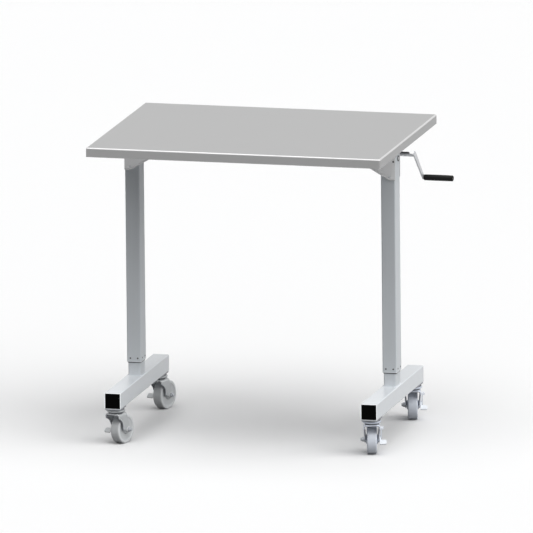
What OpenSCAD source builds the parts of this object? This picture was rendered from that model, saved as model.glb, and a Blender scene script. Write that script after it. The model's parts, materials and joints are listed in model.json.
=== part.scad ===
// Instrument table on four braked casters. A hand crank raises its two telescoping legs together.
// Lengths are in millimetres. +Z is up, +X runs along the table towards the crank, +Y is the back.
// The origin is on the floor, under the middle of the whole object's box, at the lowest setting.

/* [Table top] */
// Length of the top along X
top_w = 914.4; // [800:0.1:1200]
// Depth of the top along Y
top_d = 711.2; // [600:0.1:900]
// Height of the worktop above the floor at the lowest setting
table_h = 934.4; // [860:0.1:1050]
// Height of the skirts
top_t = 28.7; // [22:0.1:45]
// Thickness of the top's sheet
top_sheet = 1.5; // [1:0.1:2.5]
// Outer radius of the bends along the edges and at the corners
top_bend = 4; // [3:0.1:8]
// Width of the hem turned in under the skirts
hem_w = 12; // [6:0.5:20]
// Width of a stiffening channel's web
hat_web = 44; // [30:1:60]
// Width of each glued flange of a stiffening channel
hat_flange = 12; // [8:0.5:18]
// Thickness of the stiffening channels' sheet
hat_sheet = 1.2; // [0.8:0.1:2]
// Gap between the end of a stiffening channel and the hem
hat_gap = 2; // [1:0.5:10]
// Distance from a leg's centre in to the inner channel on its side
hat_inner_in = 134.3; // [130:0.1:160]
// Distance from a leg's centre back to the channel over it
hat_outer_back = 14; // [5:1:25]

/* [Leg brackets] */
// Thickness of a bracket's sheet
bracket_sheet = 3; // [2:0.1:4]
// Depth of a bracket's cheeks below the top
bracket_drop = 101.5; // [85:0.5:120]
// Angle of the cheeks' lower edge
bracket_slope = 30; // [25:1:40]
// Radius where the sloping edge meets the level one
bracket_round = 20; // [8:1:30]
// Length of the level edge at the foot of a cheek
bracket_flat = 13; // [6:0.5:30]
// How far the cheeks reach past the column's outer face
bracket_over = 0.5; // [0.5:0.5:6]
// Diameter of the bead rolled along the cheeks' lower edge
bead_d = 5; // [3.4:0.1:7]

/* [Tie channel] */
// Width of the channel that ties the brackets together
tie_w = 50; // [40:1:56]
// Depth of the tie channel
tie_h = 12; // [8:0.5:14]
// Thickness of the tie channel's sheet
tie_sheet = 2.5; // [1.5:0.1:3]

/* [Legs] */
// Distance from the end of the top in to a leg's centre
leg_inset = 57.9; // [50:0.1:90]
// Width of the upper column along X
upper_x = 45; // [43.5:0.1:50]
// Width of the upper column along Y
upper_y = 60; // [58.5:0.1:66]
// Wall of the upper column
upper_wall = 2; // [1.5:0.1:2.5]
// Corner radius of the upper column
upper_round = 4; // [3:0.1:6]
// Width of the lower column along X
lower_x = 39; // [36:0.1:39.5]
// Width of the lower column along Y
lower_y = 54; // [51:0.1:54.5]
// Wall of the lower column
lower_wall = 2.5; // [1.5:0.1:3]
// Corner radius of the lower column
lower_round = 4; // [3.2:0.1:6]
// Length of lower column that shows at the lowest setting
reveal = 41.8; // [20:0.1:80]
// How far the legs telescope
lift_travel = 300; // [150:1:320]
// Thickness of the glide bush's lip under the upper column
lip_t = 4; // [2:0.1:8]
// Length of the glide bush inside the upper column
glide_len = 60; // [30:1:90]
// Clearance between the glide bush and the lower column
glide_gap = 0.15; // [0.1:0.05:0.3]

/* [Base] */
// Length of a base beam
beam_len = 584.2; // [480:0.1:690]
// Width and height of a base beam
beam_w = 50.8; // [45:0.1:60]
// Wall of a base beam
beam_wall = 2.1; // [1.5:0.1:3]
// Corner radius of a base beam
beam_round = 3; // [2.2:0.1:5]
// Depth of an end cap inside the beam
cap_depth = 16; // [8:0.5:30]
// Thickness of an end cap's walls
cap_wall = 2.5; // [1.5:0.1:4]
// How far an end cap's face sits inside the end of the beam
cap_inset = 0.6; // [0.2:0.1:2]

/* [Casters] */
// Height of a caster from the floor to the beam
caster_h = 116.4; // [112:0.1:130]
// Diameter of a wheel
wheel_d = 88.9; // [80:0.1:92]
// Width of a wheel's tread
wheel_w = 30; // [24:0.5:33]
// Distance from the swivel axis back to the axle
trail = 36; // [30:0.5:40]
// Distance from the end of the beam in to the swivel axis
swivel_inset = 36.5; // [36.2:0.1:80]
// Angle by which the left casters point inwards
left_toe = 18; // [-30:0.1:30]
// Angle by which the right casters point inwards
right_toe = 14.4; // [-30:0.1:30]
// Width of a caster's mounting plate along X
plate_x = 50; // [44:0.5:80]
// Length of a caster's mounting plate along Y
plate_y = 72; // [62:0.5:72]
// Thickness of the mounting plate
plate_t = 3; // [2:0.1:5]
// Diameter of the upper race pressed on the plate
race_d = 58; // [50:0.5:60]
// Width of the fork across its crown
crown_d = 52; // [49:0.5:56]
// Height of the crown's underside above the floor
crown_z = 97; // [94:0.5:99]
// Thickness of the fork's sheet
fork_t = 3; // [2:0.1:4]
// Diameter of the axle bolt
axle_d = 9.5; // [8:0.1:12]
// Diameter of the king pin
king_d = 10; // [8:0.1:14]
// Angle through which a brake pedal tips
pedal_swing = 20; // [10:1:25]

/* [Crank] */
// Distance from the crank's axis to the grip's axis
crank_r = 138; // [110:1:160]
// Angle of the arm back from straight down
crank_angle = 48.7; // [0:0.1:90]
// Thickness of the arm
arm_t = 4; // [3:0.1:6]
// Width of the arm at the shaft
arm_head_w = 17.5; // [15:0.5:24]
// Width of the arm at the grip
arm_foot_w = 12; // [11:0.5:16]
// How far the arm reaches past the crank's axis
arm_past = 6; // [5.5:0.5:12]
// Gap between the skirt and the arm
arm_gap = 5.7; // [3:0.1:15]
// Diameter of the round part of the crank shaft
crank_shaft_d = 12; // [10:0.5:13]
// Side of the square end of the crank shaft
crank_square = 10.6; // [9:0.1:12]
// How far the square end stops short of the skirt's outer face
square_short = 9.2; // [2:0.1:20]
// Length of the square end
square_len = 28; // [18:0.5:32]
// Diameter of the grip
grip_d = 18.5; // [16:0.5:30]
// Length of the grip
grip_len = 91; // [70:1:120]
// Diameter of the grip's pin
grip_pin_d = 8; // [6:0.5:9]

/* [Drive] */
// How far the drive line sits behind the legs' centre line
drive_back = 10; // [0:0.5:10]
// Depth of the cross shaft's axis below the top's underside
drive_drop = 41; // [38:0.5:50]
// Diameter of the cross shaft
shaft_d = 10; // [8:0.5:10]
// Teeth of the gear on the crank shaft
crank_teeth = 18; // [16:1:20]
// Teeth of the gear on the cross shaft
shaft_teeth = 30; // [26:1:30]
// Module of the spur gears
spur_module = 1.5; // [1.4:0.05:1.6]
// Width of the spur gears
spur_face = 10; // [6:0.5:16]
// Angle of the line from the cross shaft up to the crank shaft
spur_lean = 11.3; // [5:0.1:20]
// Distance from the right leg's centre in to the gear frame
frame_in = 191; // [180:1:250]
// Distance from the left leg's centre in to the cross shaft's hanger
hanger_in = 250; // [200:1:300]
// Thickness of the gear frame's plates
frame_t = 4; // [3:0.5:6]
// Teeth of a mitre gear
mitre_teeth = 16; // [14:1:16]
// Module of the mitre gears at their large end
mitre_module = 1.5; // [1.3:0.05:1.5]
// Width of a mitre gear's teeth along the cone
mitre_face = 5.5; // [4:0.5:6]
// Diameter of the lead screws
screw_d = 20; // [16:0.5:22]
// Diameter of a lead screw's journal
journal_d = 10; // [8:0.5:10]
// Height of a screw nut
nut_h = 30; // [20:1:40]

/* [Hidden] */

// Facets of large, middling and small rounds
fn_large = 96;
fn_mid = 48;
fn_small = 24;

// Running clearance between a shaft and its bore, and overrun of every cut
run_fit = 0.05;
cut = 1;
// End gap beside a part that turns
end_gap = 0.4;
// Direction of an arc's point that is straight down or straight up
down = 270;
up = 90;

// Colours of the real pieces
steel_top = "#c3c3c3";
paint_grey = "#c4c9cd";
paint_light = "#e6ebef";
cap_black = "#0c0c0c";
zinc = "#b9bcbf";
dark_steel = "#6f7173";
gear_steel = "#9a9c9e";
bush_black = "#26282a";
bronze = "#b08d57";
wheel_grey = "#b9bec8";
grip_black = "#1b1b1c";

// Places along X, measured from the middle of the box
crank_reach = arm_gap + arm_t + end_gap + grip_len;
table_x = -crank_reach / 2;
leg_x = top_w / 2 - leg_inset;
arm_x = top_w / 2 + arm_gap;
grip_x = arm_x + arm_t + end_gap;
square_end_x = top_w / 2 - square_short;

// Heights above the floor
top_z = table_h - top_t;
column_top_z = top_z - bracket_sheet;
drive_z = top_z - drive_drop;
beam_top_z = caster_h + beam_w;
lip_z = beam_top_z + reveal;
column_foot_z = lip_z + lip_t;

// Spur gears
spur_centres = spur_module * (crank_teeth + shaft_teeth) / 2;
crank_y = drive_back + spur_centres * cos(spur_lean);
crank_z = drive_z + spur_centres * sin(spur_lean);
spur_tip = spur_module;
spur_root = 1.25 * spur_module;
gear_backlash = 0.12;
pressure_angle = 20;
frame_gap = 1;
frame_x = leg_x - frame_in;
frame_half = spur_face / 2 + frame_gap;
frame_rim = 7;
frame_edge = 1.5;
frame_screw_d = 6;
frame_foot = 12;

// Mitre gears, whose cones meet where the shaft crosses the screw
mitre_r = mitre_module * mitre_teeth / 2;
mitre_hub_len = 6;
mitre_hub_d = 18;
mitre_backlash = 0.16;
mitre_tip = 0.9 * mitre_module;
mitre_root = 1.2 * mitre_module;

// Inside of a leg's head
inner_x = upper_x - 2 * upper_wall;
inner_y = upper_y - 2 * upper_wall;
inner_round = max(upper_round - upper_wall, 0.5 * upper_wall);
block_fit = 0.1;
block_t = 16;
block_top_z = drive_z - mitre_r - mitre_hub_len - end_gap;
shoulder_z = block_top_z - block_t - end_gap;
nut_gap = 4;
nut_flange_t = 3;
nut_top_z = shoulder_z - nut_gap;
lower_top_z = nut_top_z - nut_flange_t;
nut_fit = 0.3;
screw_tail = 8;
screw_end_z = nut_top_z - nut_flange_t - nut_h - lift_travel - screw_tail;
thread_fit = 0.05;

// Bushes of the cross shaft
bush_d = 14;
bush_flange_d = 18;
bush_flange_t = 2;

// Crank bearing on the right bracket
bearing_len = 26;
bearing_rim = 6;
bearing_off = 6;

// Hanger of the cross shaft
hanger_x = hanger_in - leg_x;
hanger_w = 20;
hanger_t = 4;

// Crank arm's tang, which lies on a flat milled on the square end
tang_t = 4;
tang_fillet = 4;
rivet_d = 4;
rivet_head_d = 7;
rivet_head_t = 1.5;
grip_wall_end = 4;
grip_fit = 0.1;
pin_head_d = 12;
pin_head_t = 2;

// Screws
bracket_screw_d = 6;
bracket_screw_t = 1.6;
bracket_screw_low = [bracket_over + 17, 10.5];
bracket_screw_high = [bracket_over + 4.5, 58];
tie_bolt_af = 10;
tie_bolt_t = 4;
tie_bolt_y = 13;
glide_screw_d = 5;
glide_screw_t = 1;
glide_screw_up = 8;
glide_screw_x = 11.4;
glide_screw_y = 15.5;

// Caster
axle_z = wheel_d / 2;
plate_round = 6;
race_wall = 2.5;
ring_h = 4.2;
ring_w = 4;
fork_top = crown_z + fork_t;
race_z = fork_top + ring_h;
race_gap = 0.5;
boss_d = 20;
hub_half = wheel_w / 2 + 3;
boss_in = hub_half + end_gap;
boss_ease = 0.8;
boss_out = boss_in + fork_t + boss_ease;
leg_lean = atan((crown_d / 2 - boss_out) / (crown_z - axle_z));
boss_face = boss_out + boss_d / 2 * tan(leg_lean);
crown_front = 22;
crown_back = 24;
crown_round = 12;
shoulder_r = 9;
arch_r = 37.5;
toe_front = 26;
toe_up = 5;
toe_round = 2;
king_head_d = 18;
king_head_t = 4;
nut_af = 13;
axle_nut_t = 8;
bolt_head_t = 3;
axle_tail = 3.5;
pedal_gap = 0.5;
pedal_t = 4;
pedal_ring_d = 22;
pedal_reach = 27;
pedal_low = 4;
pedal_tip_d = 11;
tab_w = 17;
tab_l = 18;
tab_t = 3;
tab_tilt = 35;
lug_d = 10.6;
lug_t = 3;
lug_ahead = 11;
lug_up = 37;
lug_arm_t = 3.4;
lug_arm_w = 9;
tread_round = 4;
rim_depth = 6;
rim_w = 7;
hub_d = 28;
web_half = 12;

// Two-dimensional shapes

// Rectangle about the origin with round corners
module round_rect(w, h, r) {
    square([w - 2 * r, h], center = true);
    square([w, h - 2 * r], center = true);
    for (x = [-1, 1], y = [-1, 1])
        translate([x * (w / 2 - r), y * (h / 2 - r)]) circle(r = r, $fn = fn_small);
}

// Ring of a square or oblong tube
module tube_ring(w, h, r, wall) {
    difference() {
        round_rect(w, h, r);
        round_rect(w - 2 * wall, h - 2 * wall, max(r - wall, wall / 4));
    }
}

// Section of a slab whose two upper corners are round
module slab_section(w, t, r) {
    translate([-w / 2, 0]) square([w, t - r]);
    translate([r - w / 2, 0]) square([w - 2 * r, t]);
    for (x = [-1, 1])
        translate([x * (w / 2 - r), t - r]) circle(r = r, $fn = fn_mid);
}

// Points of an arc about a centre
function arc(c, r, a0, a1, n) = [for (i = [0:n]) let(a = a0 + (a1 - a0) * i / n) c + r * [cos(a), sin(a)]];

// Solids used more than once

// Slab with soft upper edges and upright corners, standing on z = 0
module soft_slab(w, d, t, r) {
    intersection() {
        rotate([90, 0, 0]) translate([0, 0, -d / 2]) linear_extrude(d) slab_section(w, t, r);
        rotate([90, 0, 90]) translate([0, 0, -w / 2]) linear_extrude(w) slab_section(d, t, r);
        linear_extrude(t) round_rect(w, d, r);
    }
}

// Cylinder along X from x0 to x1
module rod_x(d, x0, x1, fn = fn_mid) {
    translate([x0, 0, 0]) rotate([0, 90, 0]) cylinder(d = d, h = x1 - x0, $fn = fn);
}

// Hexagon prism along X from x0 to x1, measured across its flats
module hex_x(af, x0, x1) {
    translate([x0, 0, 0]) rotate([0, 90, 0]) cylinder(d = af / cos(30), h = x1 - x0, $fn = 6);
}

// Places a leg's pieces: side is -1 for the left leg and 1 for the right one
module at_leg(side) {
    translate([table_x + side * leg_x, 0, 0]) children();
}

// Turns the right-hand leg's shapes round for the left leg
module face_out(side) {
    mirror([side < 0 ? 1 : 0, 0, 0]) children();
}

// Involute gears

// Involute function in degrees
function inv_deg(a) = tan(a) * 180 / PI - a;

// Half the angle that a tooth fills at radius r, for a gear of pitch radius rp
function tooth_half(r, rp, quarter, slack) =
    let(rb = rp * cos(pressure_angle), rr = max(r, rb))
    quarter - slack / rp * 90 / PI + inv_deg(pressure_angle) - inv_deg(acos(min(rb / rr, 1)));

// Outline of a spur gear with a tooth on +X
function spur_points(teeth, m, slack) =
    let(
        rp = m * teeth / 2,
        radii = [for (i = [0:4]) rp - spur_root + (spur_tip + spur_root) * i / 4],
        quarter = 90 / teeth
    )
    [for (t = [0:teeth - 1]) let(mid = t * 360 / teeth) each concat(
        [for (r = radii) r * [cos(mid - tooth_half(r, rp, quarter, slack)), sin(mid - tooth_half(r, rp, quarter, slack))]],
        [for (i = [4:-1:0]) let(r = radii[i])
            r * [cos(mid + tooth_half(r, rp, quarter, slack)), sin(mid + tooth_half(r, rp, quarter, slack))]]
    )];

// Outline of a mitre gear in the plane z = mitre_r of its cone, with a tooth on +X.
// A tooth has the shape of a spur tooth on the back cone, drawn in towards the apex.
function mitre_points() =
    let(
        rv = mitre_r * sqrt(2),
        radii = [for (i = [0:4]) rv - mitre_root + (mitre_tip + mitre_root) * i / 4],
        quarter = 90 / (mitre_teeth * sqrt(2)),
        halves = [for (r = radii) tooth_half(r, rv, quarter, mitre_backlash) * sqrt(2)],
        flats = [for (r = radii) mitre_r * (r / sqrt(2)) / (2 * mitre_r - r / sqrt(2))]
    )
    [for (t = [0:mitre_teeth - 1]) let(mid = t * 360 / mitre_teeth) each concat(
        [for (i = [0:4]) flats[i] * [cos(mid - halves[i]), sin(mid - halves[i])]],
        [for (i = [4:-1:0]) flats[i] * [cos(mid + halves[i]), sin(mid + halves[i])]]
    )];

// Spur gear about Z with a bore
module spur_gear(teeth, bore) {
    difference() {
        translate([0, 0, -spur_face / 2]) linear_extrude(spur_face)
            polygon(spur_points(teeth, spur_module, gear_backlash));
        translate([0, 0, -spur_face]) cylinder(d = bore, h = 2 * spur_face, $fn = fn_mid);
    }
}

// Mitre gear about Z with its cone's apex at the origin and its hub away from the apex
module mitre_gear(bore) {
    small = mitre_r - mitre_face / sqrt(2);
    difference() {
        union() {
            translate([0, 0, mitre_r]) mirror([0, 0, 1])
                linear_extrude(mitre_r - small, scale = small / mitre_r) polygon(mitre_points());
            translate([0, 0, mitre_r]) cylinder(d = mitre_hub_d, h = mitre_hub_len, $fn = fn_mid);
        }
        cylinder(d = bore, h = 2 * mitre_r, $fn = fn_mid);
    }
}

// Table top and what is fixed under it

module table_top() {
    color(steel_top) translate([table_x, 0, top_z]) {
        difference() {
            soft_slab(top_w, top_d, top_t, top_bend);
            translate([0, 0, -cut])
                soft_slab(top_w - 2 * top_sheet, top_d - 2 * top_sheet, top_t - top_sheet + cut, top_bend - top_sheet);
        }
        linear_extrude(top_sheet) difference() {
            round_rect(top_w, top_d, top_bend);
            square([top_w - 2 * hem_w, top_d - 2 * hem_w], center = true);
        }
    }
}

// Hat-shaped channel along Y, hung under the sheet
module hat_channel(len) {
    depth = top_t - top_sheet;
    half = hat_web / 2;
    rotate([90, 0, 0]) translate([0, 0, -len / 2]) linear_extrude(len) polygon([
        [-half - hat_flange, depth], [-half - hat_flange, depth - hat_sheet],
        [-half, depth - hat_sheet], [-half, 0], [half, 0], [half, depth - hat_sheet],
        [half + hat_flange, depth - hat_sheet], [half + hat_flange, depth],
        [half - hat_sheet, depth], [half - hat_sheet, hat_sheet],
        [hat_sheet - half, hat_sheet], [hat_sheet - half, depth]
    ]);
}

module top_stiffeners() {
    len = top_d - 2 * (hem_w + hat_gap);
    color(zinc) translate([table_x, 0, top_z])
        for (x = [hat_outer_back - leg_x, hat_inner_in - leg_x, 0, leg_x - hat_inner_in, leg_x - hat_outer_back])
            translate([x, 0, 0]) hat_channel(len);
}

module tie_channel() {
    half = leg_x - upper_x / 2;
    color(zinc) translate([table_x - half, 0, column_top_z])
        rotate([90, 0, 90]) linear_extrude(2 * half) polygon([
            [-tie_w / 2, 0], [-tie_w / 2, -tie_h], [tie_sheet - tie_w / 2, -tie_h],
            [tie_sheet - tie_w / 2, -tie_sheet], [tie_w / 2 - tie_sheet, -tie_sheet],
            [tie_w / 2 - tie_sheet, -tie_h], [tie_w / 2, -tie_h], [tie_w / 2, 0]
        ]);
}

// Corner points of a cheek's outline, with x measured in from its outer edge and z down from the top
cheek_bend = [bracket_flat, bracket_round - bracket_drop];
cheek_knee = cheek_bend + bracket_round * [sin(bracket_slope), -cos(bracket_slope)];
cheek_len = cheek_knee[0] - cheek_knee[1] / tan(bracket_slope);

// Cheek of the right bracket in the XZ plane, drawn from its outer edge inwards
module cheek_outline() {
    polygon(concat(
        [[0, 0], [0, -bracket_drop]],
        arc(cheek_bend, bracket_round, down, down + bracket_slope, 8),
        [[cheek_len, 0]]
    ));
}

// Bead rolled along a cheek's lower edge
module cheek_bead() {
    bead_round = bracket_round - bead_d / 2;
    start = cheek_bend + bead_round * [sin(bracket_slope), -cos(bracket_slope)];
    run = -start[1] / sin(bracket_slope) - bead_d;
    translate([0, 0, bead_d / 2 - bracket_drop]) rotate([0, 90, 0])
        cylinder(d = bead_d, h = bracket_flat, $fn = fn_small);
    translate([cheek_bend[0], 0, cheek_bend[1]]) rotate([90, 0, 0]) rotate([0, 0, down])
        rotate_extrude(angle = bracket_slope, $fn = fn_large)
            translate([bead_round, 0]) circle(d = bead_d, $fn = fn_small);
    translate([start[0], 0, start[1]]) rotate([0, 90 - bracket_slope, 0])
        cylinder(d = bead_d, h = run, $fn = fn_small);
}

// Pressed bracket that hugs the head of a column
module bracket(side) {
    outer = upper_x / 2 + bracket_over;
    half = upper_y / 2;
    color(steel_top) at_leg(side) face_out(side) translate([outer, 0, top_z]) mirror([1, 0, 0]) {
        translate([0, -half - bracket_sheet, -bracket_sheet])
            cube([cheek_len - bracket_sheet / tan(bracket_slope), 2 * (half + bracket_sheet), bracket_sheet]);
        for (y = [-half, half + bracket_sheet])
            translate([0, y, 0]) rotate([90, 0, 0]) linear_extrude(bracket_sheet) cheek_outline();
        for (y = [-1, 1])
            translate([0, y * (half + bead_d / 2), 0]) cheek_bead();
    }
}

// Round-headed screws on the brackets' cheeks and hexagon bolts under the tie channel
module bracket_screws() {
    outer = upper_x / 2 + bracket_over;
    face = upper_y / 2 + bracket_sheet;
    color(dark_steel) for (side = [-1, 1]) at_leg(side) face_out(side) {
        for (y = [-1, 1], spot = [bracket_screw_low, bracket_screw_high])
            translate([outer - spot[0], y * face, top_z - bracket_drop + spot[1]])
                rotate([y * -90, 0, 0]) cylinder(d = bracket_screw_d, h = bracket_screw_t, $fn = fn_small);
        for (x = [hat_inner_in, upper_x / 2 + tie_bolt_af], y = [-1, 1])
            translate([-x, y * tie_bolt_y, column_top_z - tie_sheet - tie_bolt_t])
                cylinder(d = tie_bolt_af / cos(30), h = tie_bolt_t, $fn = 6);
    }
}

// Legs

module upper_column(side) {
    color(paint_grey) at_leg(side) difference() {
        translate([0, 0, column_foot_z]) linear_extrude(column_top_z - column_foot_z)
            tube_ring(upper_x, upper_y, upper_round, upper_wall);
        translate([0, drive_back, drive_z]) rod_x(bush_d, -upper_x, upper_x);
    }
}

module glide_bush(side) {
    hole_x = lower_x + 2 * glide_gap;
    hole_y = lower_y + 2 * glide_gap;
    color(paint_grey) at_leg(side) translate([0, 0, lip_z]) difference() {
        union() {
            linear_extrude(lip_t) round_rect(upper_x, upper_y, upper_round);
            linear_extrude(lip_t + glide_len)
                round_rect(inner_x - 2 * run_fit, inner_y - 2 * run_fit, inner_round);
        }
        translate([0, 0, -cut]) linear_extrude(lip_t + glide_len + 2 * cut)
            round_rect(hole_x, hole_y, lower_round - 6 * glide_gap);
    }
}

// Small round-headed screws that hold the glide bushes
module glide_screws() {
    z = column_foot_z + glide_screw_up;
    color(dark_steel) for (side = [-1, 1]) at_leg(side) translate([0, 0, z]) for (s = [-1, 1], t = [-1, 1]) {
        translate([s * glide_screw_x, t * upper_y / 2, 0]) rotate([t * -90, 0, 0])
            cylinder(d = glide_screw_d, h = glide_screw_t, $fn = fn_small);
        translate([t * upper_x / 2, s * glide_screw_y, 0]) rotate([0, t * 90, 0])
            cylinder(d = glide_screw_d, h = glide_screw_t, $fn = fn_small);
    }
}

// Cast block that carries the lead screw in the head of a column
module head_block(side) {
    color(dark_steel) at_leg(side) difference() {
        translate([0, 0, block_top_z - block_t]) linear_extrude(block_t)
            round_rect(inner_x - 2 * block_fit, inner_y - 2 * block_fit, inner_round);
        translate([0, drive_back, block_top_z - block_t - cut])
            cylinder(d = journal_d + 2 * run_fit, h = block_t + 2 * cut, $fn = fn_mid);
    }
}

// Flanged bushes in the four walls that the cross shaft passes through
module shaft_bushes() {
    color(bush_black) for (side = [-1, 1]) at_leg(side) translate([0, drive_back, drive_z]) for (wall = [-1, 1])
        mirror([wall < 0 ? 1 : 0, 0, 0]) difference() {
            union() {
                rod_x(bush_d, upper_x / 2 - upper_wall, upper_x / 2);
                rod_x(bush_flange_d, upper_x / 2, upper_x / 2 + bush_flange_t);
            }
            rod_x(shaft_d + 2 * run_fit, 0, upper_x);
        }
}

module lower_column(side) {
    color(paint_grey) at_leg(side) translate([0, 0, beam_top_z]) linear_extrude(lower_top_z - beam_top_z)
        tube_ring(lower_x, lower_y, lower_round, lower_wall);
}

// Nut that closes the top of a lower column and runs on the lead screw
module screw_nut(side) {
    plug_x = lower_x - 2 * lower_wall - 2 * run_fit;
    plug_y = lower_y - 2 * lower_wall - 2 * run_fit;
    color(bronze) at_leg(side) difference() {
        union() {
            translate([0, 0, lower_top_z]) linear_extrude(nut_flange_t)
                round_rect(inner_x - 2 * nut_fit, inner_y - 2 * nut_fit, inner_round);
            translate([0, 0, lower_top_z - nut_h]) linear_extrude(nut_h)
                round_rect(plug_x, plug_y, max(lower_round - lower_wall, lower_wall / 4));
        }
        translate([0, drive_back, lower_top_z - nut_h - cut])
            cylinder(d = screw_d + 2 * thread_fit, h = nut_h + nut_flange_t + 2 * cut, $fn = fn_mid);
    }
}

// Drive

module cross_shaft() {
    end = leg_x + upper_x / 2 + bush_flange_t;
    color(gear_steel) translate([table_x, drive_back, drive_z]) rod_x(shaft_d, -end, end);
}

// Mitre gears on the cross shaft, both on the left of their screws
module shaft_mitre_gears() {
    color(gear_steel) for (side = [-1, 1]) at_leg(side) translate([0, drive_back, drive_z])
        rotate([0, -90, 0]) rotate([0, 0, 180]) mitre_gear(shaft_d);
}

module screw_mitre_gear(side) {
    color(gear_steel) at_leg(side) translate([0, drive_back, drive_z])
        rotate([180, 0, 0]) rotate([0, 0, 180 + 180 / mitre_teeth]) mitre_gear(journal_d);
}

module lead_screw(side) {
    color(gear_steel) at_leg(side) translate([0, drive_back, 0]) {
        translate([0, 0, screw_end_z]) cylinder(d = screw_d, h = shoulder_z - screw_end_z, $fn = fn_mid);
        translate([0, 0, shoulder_z]) cylinder(d = journal_d, h = drive_z - mitre_r - shoulder_z, $fn = fn_mid);
    }
}

// Spacer places on the gear frame, in the YZ plane
frame_spots = [
    for (a = [205, 265, 325]) [drive_back, drive_z]
        + (spur_module * shaft_teeth / 2 + frame_rim) * [cos(a), sin(a)],
    [crank_y, crank_z] + (spur_module * crank_teeth / 2 + frame_rim) * [cos(40), sin(40)]
];

// Outline of a gear frame plate in the YZ plane
module frame_outline() {
    rim = frame_rim + frame_screw_d / 2 + frame_edge;
    gear_r = spur_module * shaft_teeth / 2 + rim;
    crank_gear_r = spur_module * crank_teeth / 2 + rim;
    half = tie_w / 2 - tie_sheet - end_gap;
    difference() {
        union() {
            translate([drive_back, drive_z]) circle(r = gear_r, $fn = fn_large);
            translate([crank_y, crank_z]) circle(r = crank_gear_r, $fn = fn_large);
        }
        translate([-crank_y, column_top_z - tie_h - end_gap]) square([3 * crank_y, tie_w]);
    }
    translate([-half, drive_z]) square([2 * half, column_top_z - tie_sheet - drive_z]);
}

// Two plates that hold both shafts of the spur gears, with the tubes that space them
module gear_frame() {
    color(zinc) translate([table_x + frame_x, 0, 0]) {
        for (x = [-frame_half - frame_t, frame_half]) translate([x, 0, 0]) difference() {
            rotate([90, 0, 90]) linear_extrude(frame_t) frame_outline();
            translate([0, drive_back, drive_z]) rod_x(shaft_d + 2 * run_fit, -cut, frame_t + cut);
            translate([0, crank_y, crank_z]) rod_x(crank_shaft_d + 2 * run_fit, -cut, frame_t + cut);
        }
        for (spot = frame_spots) translate([0, spot[0], spot[1]])
            rod_x(frame_screw_d, -frame_half, frame_half, fn_small);
    }
}

// Hexagon heads on both sides of the gear frame's spacers
module frame_screws() {
    reach = frame_half + frame_t;
    color(dark_steel) translate([table_x + frame_x, 0, 0]) for (spot = frame_spots, s = [-1, 1])
        translate([0, spot[0], spot[1]]) mirror([s < 0 ? 1 : 0, 0, 0])
            hex_x(frame_screw_d + 1, reach, reach + frame_screw_d / 2);
}

// Block on the right bracket's back cheek, with the crank shaft's outer bearing
module crank_bearing() {
    back = crank_y + crank_shaft_d / 2 + bearing_rim;
    face = upper_y / 2 + bracket_sheet;
    half = crank_shaft_d / 2 + bearing_rim;
    color(dark_steel) at_leg(1) difference() {
        translate([-bearing_off - bearing_len / 2, face, crank_z - half])
            cube([bearing_len, back - face - bearing_rim, 2 * half]);
        translate([0, crank_y, crank_z]) rod_x(crank_shaft_d + 2 * run_fit, -leg_x, leg_x);
    }
    color(dark_steel) at_leg(1) difference() {
        translate([0, crank_y, crank_z]) rod_x(2 * half, -bearing_off - bearing_len / 2, bearing_len / 2 - bearing_off);
        translate([0, crank_y, crank_z]) rod_x(crank_shaft_d + 2 * run_fit, -leg_x, leg_x);
    }
}

// Plate that carries the middle of the cross shaft
module shaft_hanger() {
    color(zinc) translate([table_x + hanger_x, 0, 0]) {
        difference() {
            union() {
                translate([0, drive_back, drive_z]) rod_x(hanger_w, 0, hanger_t);
                translate([0, drive_back - hanger_w / 2, drive_z])
                    cube([hanger_t, hanger_w, column_top_z - tie_sheet - drive_z]);
            }
            translate([0, drive_back, drive_z]) rod_x(shaft_d + 2 * run_fit, -cut, hanger_t + cut);
        }
        translate([0, drive_back - hanger_w / 2, column_top_z - tie_sheet - hanger_t])
            cube([frame_foot + hanger_t, hanger_w, hanger_t]);
    }
}

// Spur gear on the cross shaft, with a gap between two teeth facing the crank's gear
module cross_shaft_gear() {
    color(gear_steel) translate([table_x + frame_x, drive_back, drive_z])
        rotate([90, 0, 90]) rotate([0, 0, spur_lean + 180 / shaft_teeth]) spur_gear(shaft_teeth, shaft_d);
}

module crank_gear() {
    color(gear_steel) translate([table_x + frame_x, crank_y, crank_z])
        rotate([90, 0, 90]) rotate([0, 0, 180 + spur_lean]) spur_gear(crank_teeth, crank_shaft_d);
}

// Crank. Its own frame has X along the shaft, Z against the arm and Y square to both.

module at_crank() {
    translate([table_x, crank_y, crank_z]) rotate([crank_angle, 0, 0]) children();
}

module crank_shaft() {
    inner = frame_x - frame_half - frame_t - frame_gap;
    outer = square_end_x - square_len;
    half = crank_square / 2;
    color(dark_steel) at_crank() {
        rod_x(crank_shaft_d, inner, outer);
        translate([outer, tang_t - half, -half]) cube([square_len, crank_square - tang_t, crank_square]);
    }
}

// Outline of the arm in its own YZ plane
module arm_outline() {
    hull() {
        translate([-arm_head_w / 2, 0]) square([arm_head_w, arm_past]);
        translate([0, -crank_r]) circle(d = arm_foot_w, $fn = fn_mid);
    }
}

module crank_arm() {
    half = crank_square / 2;
    tang_x0 = square_end_x - square_len;
    root = tang_fillet;
    color(zinc) at_crank() {
        difference() {
            translate([arm_x, 0, 0]) rotate([90, 0, 90]) linear_extrude(arm_t) arm_outline();
            translate([0, 0, -crank_r]) rod_x(grip_pin_d, arm_x - cut, arm_x + arm_t + cut);
        }
        translate([tang_x0, -half, -half]) cube([arm_x - tang_x0, tang_t, crank_square]);
        translate([arm_x - root, tang_t - half, -half]) difference() {
            cube([root, root, crank_square]);
            translate([0, root, -cut]) cylinder(r = root, h = crank_square + 2 * cut, $fn = fn_mid);
        }
    }
}

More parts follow.
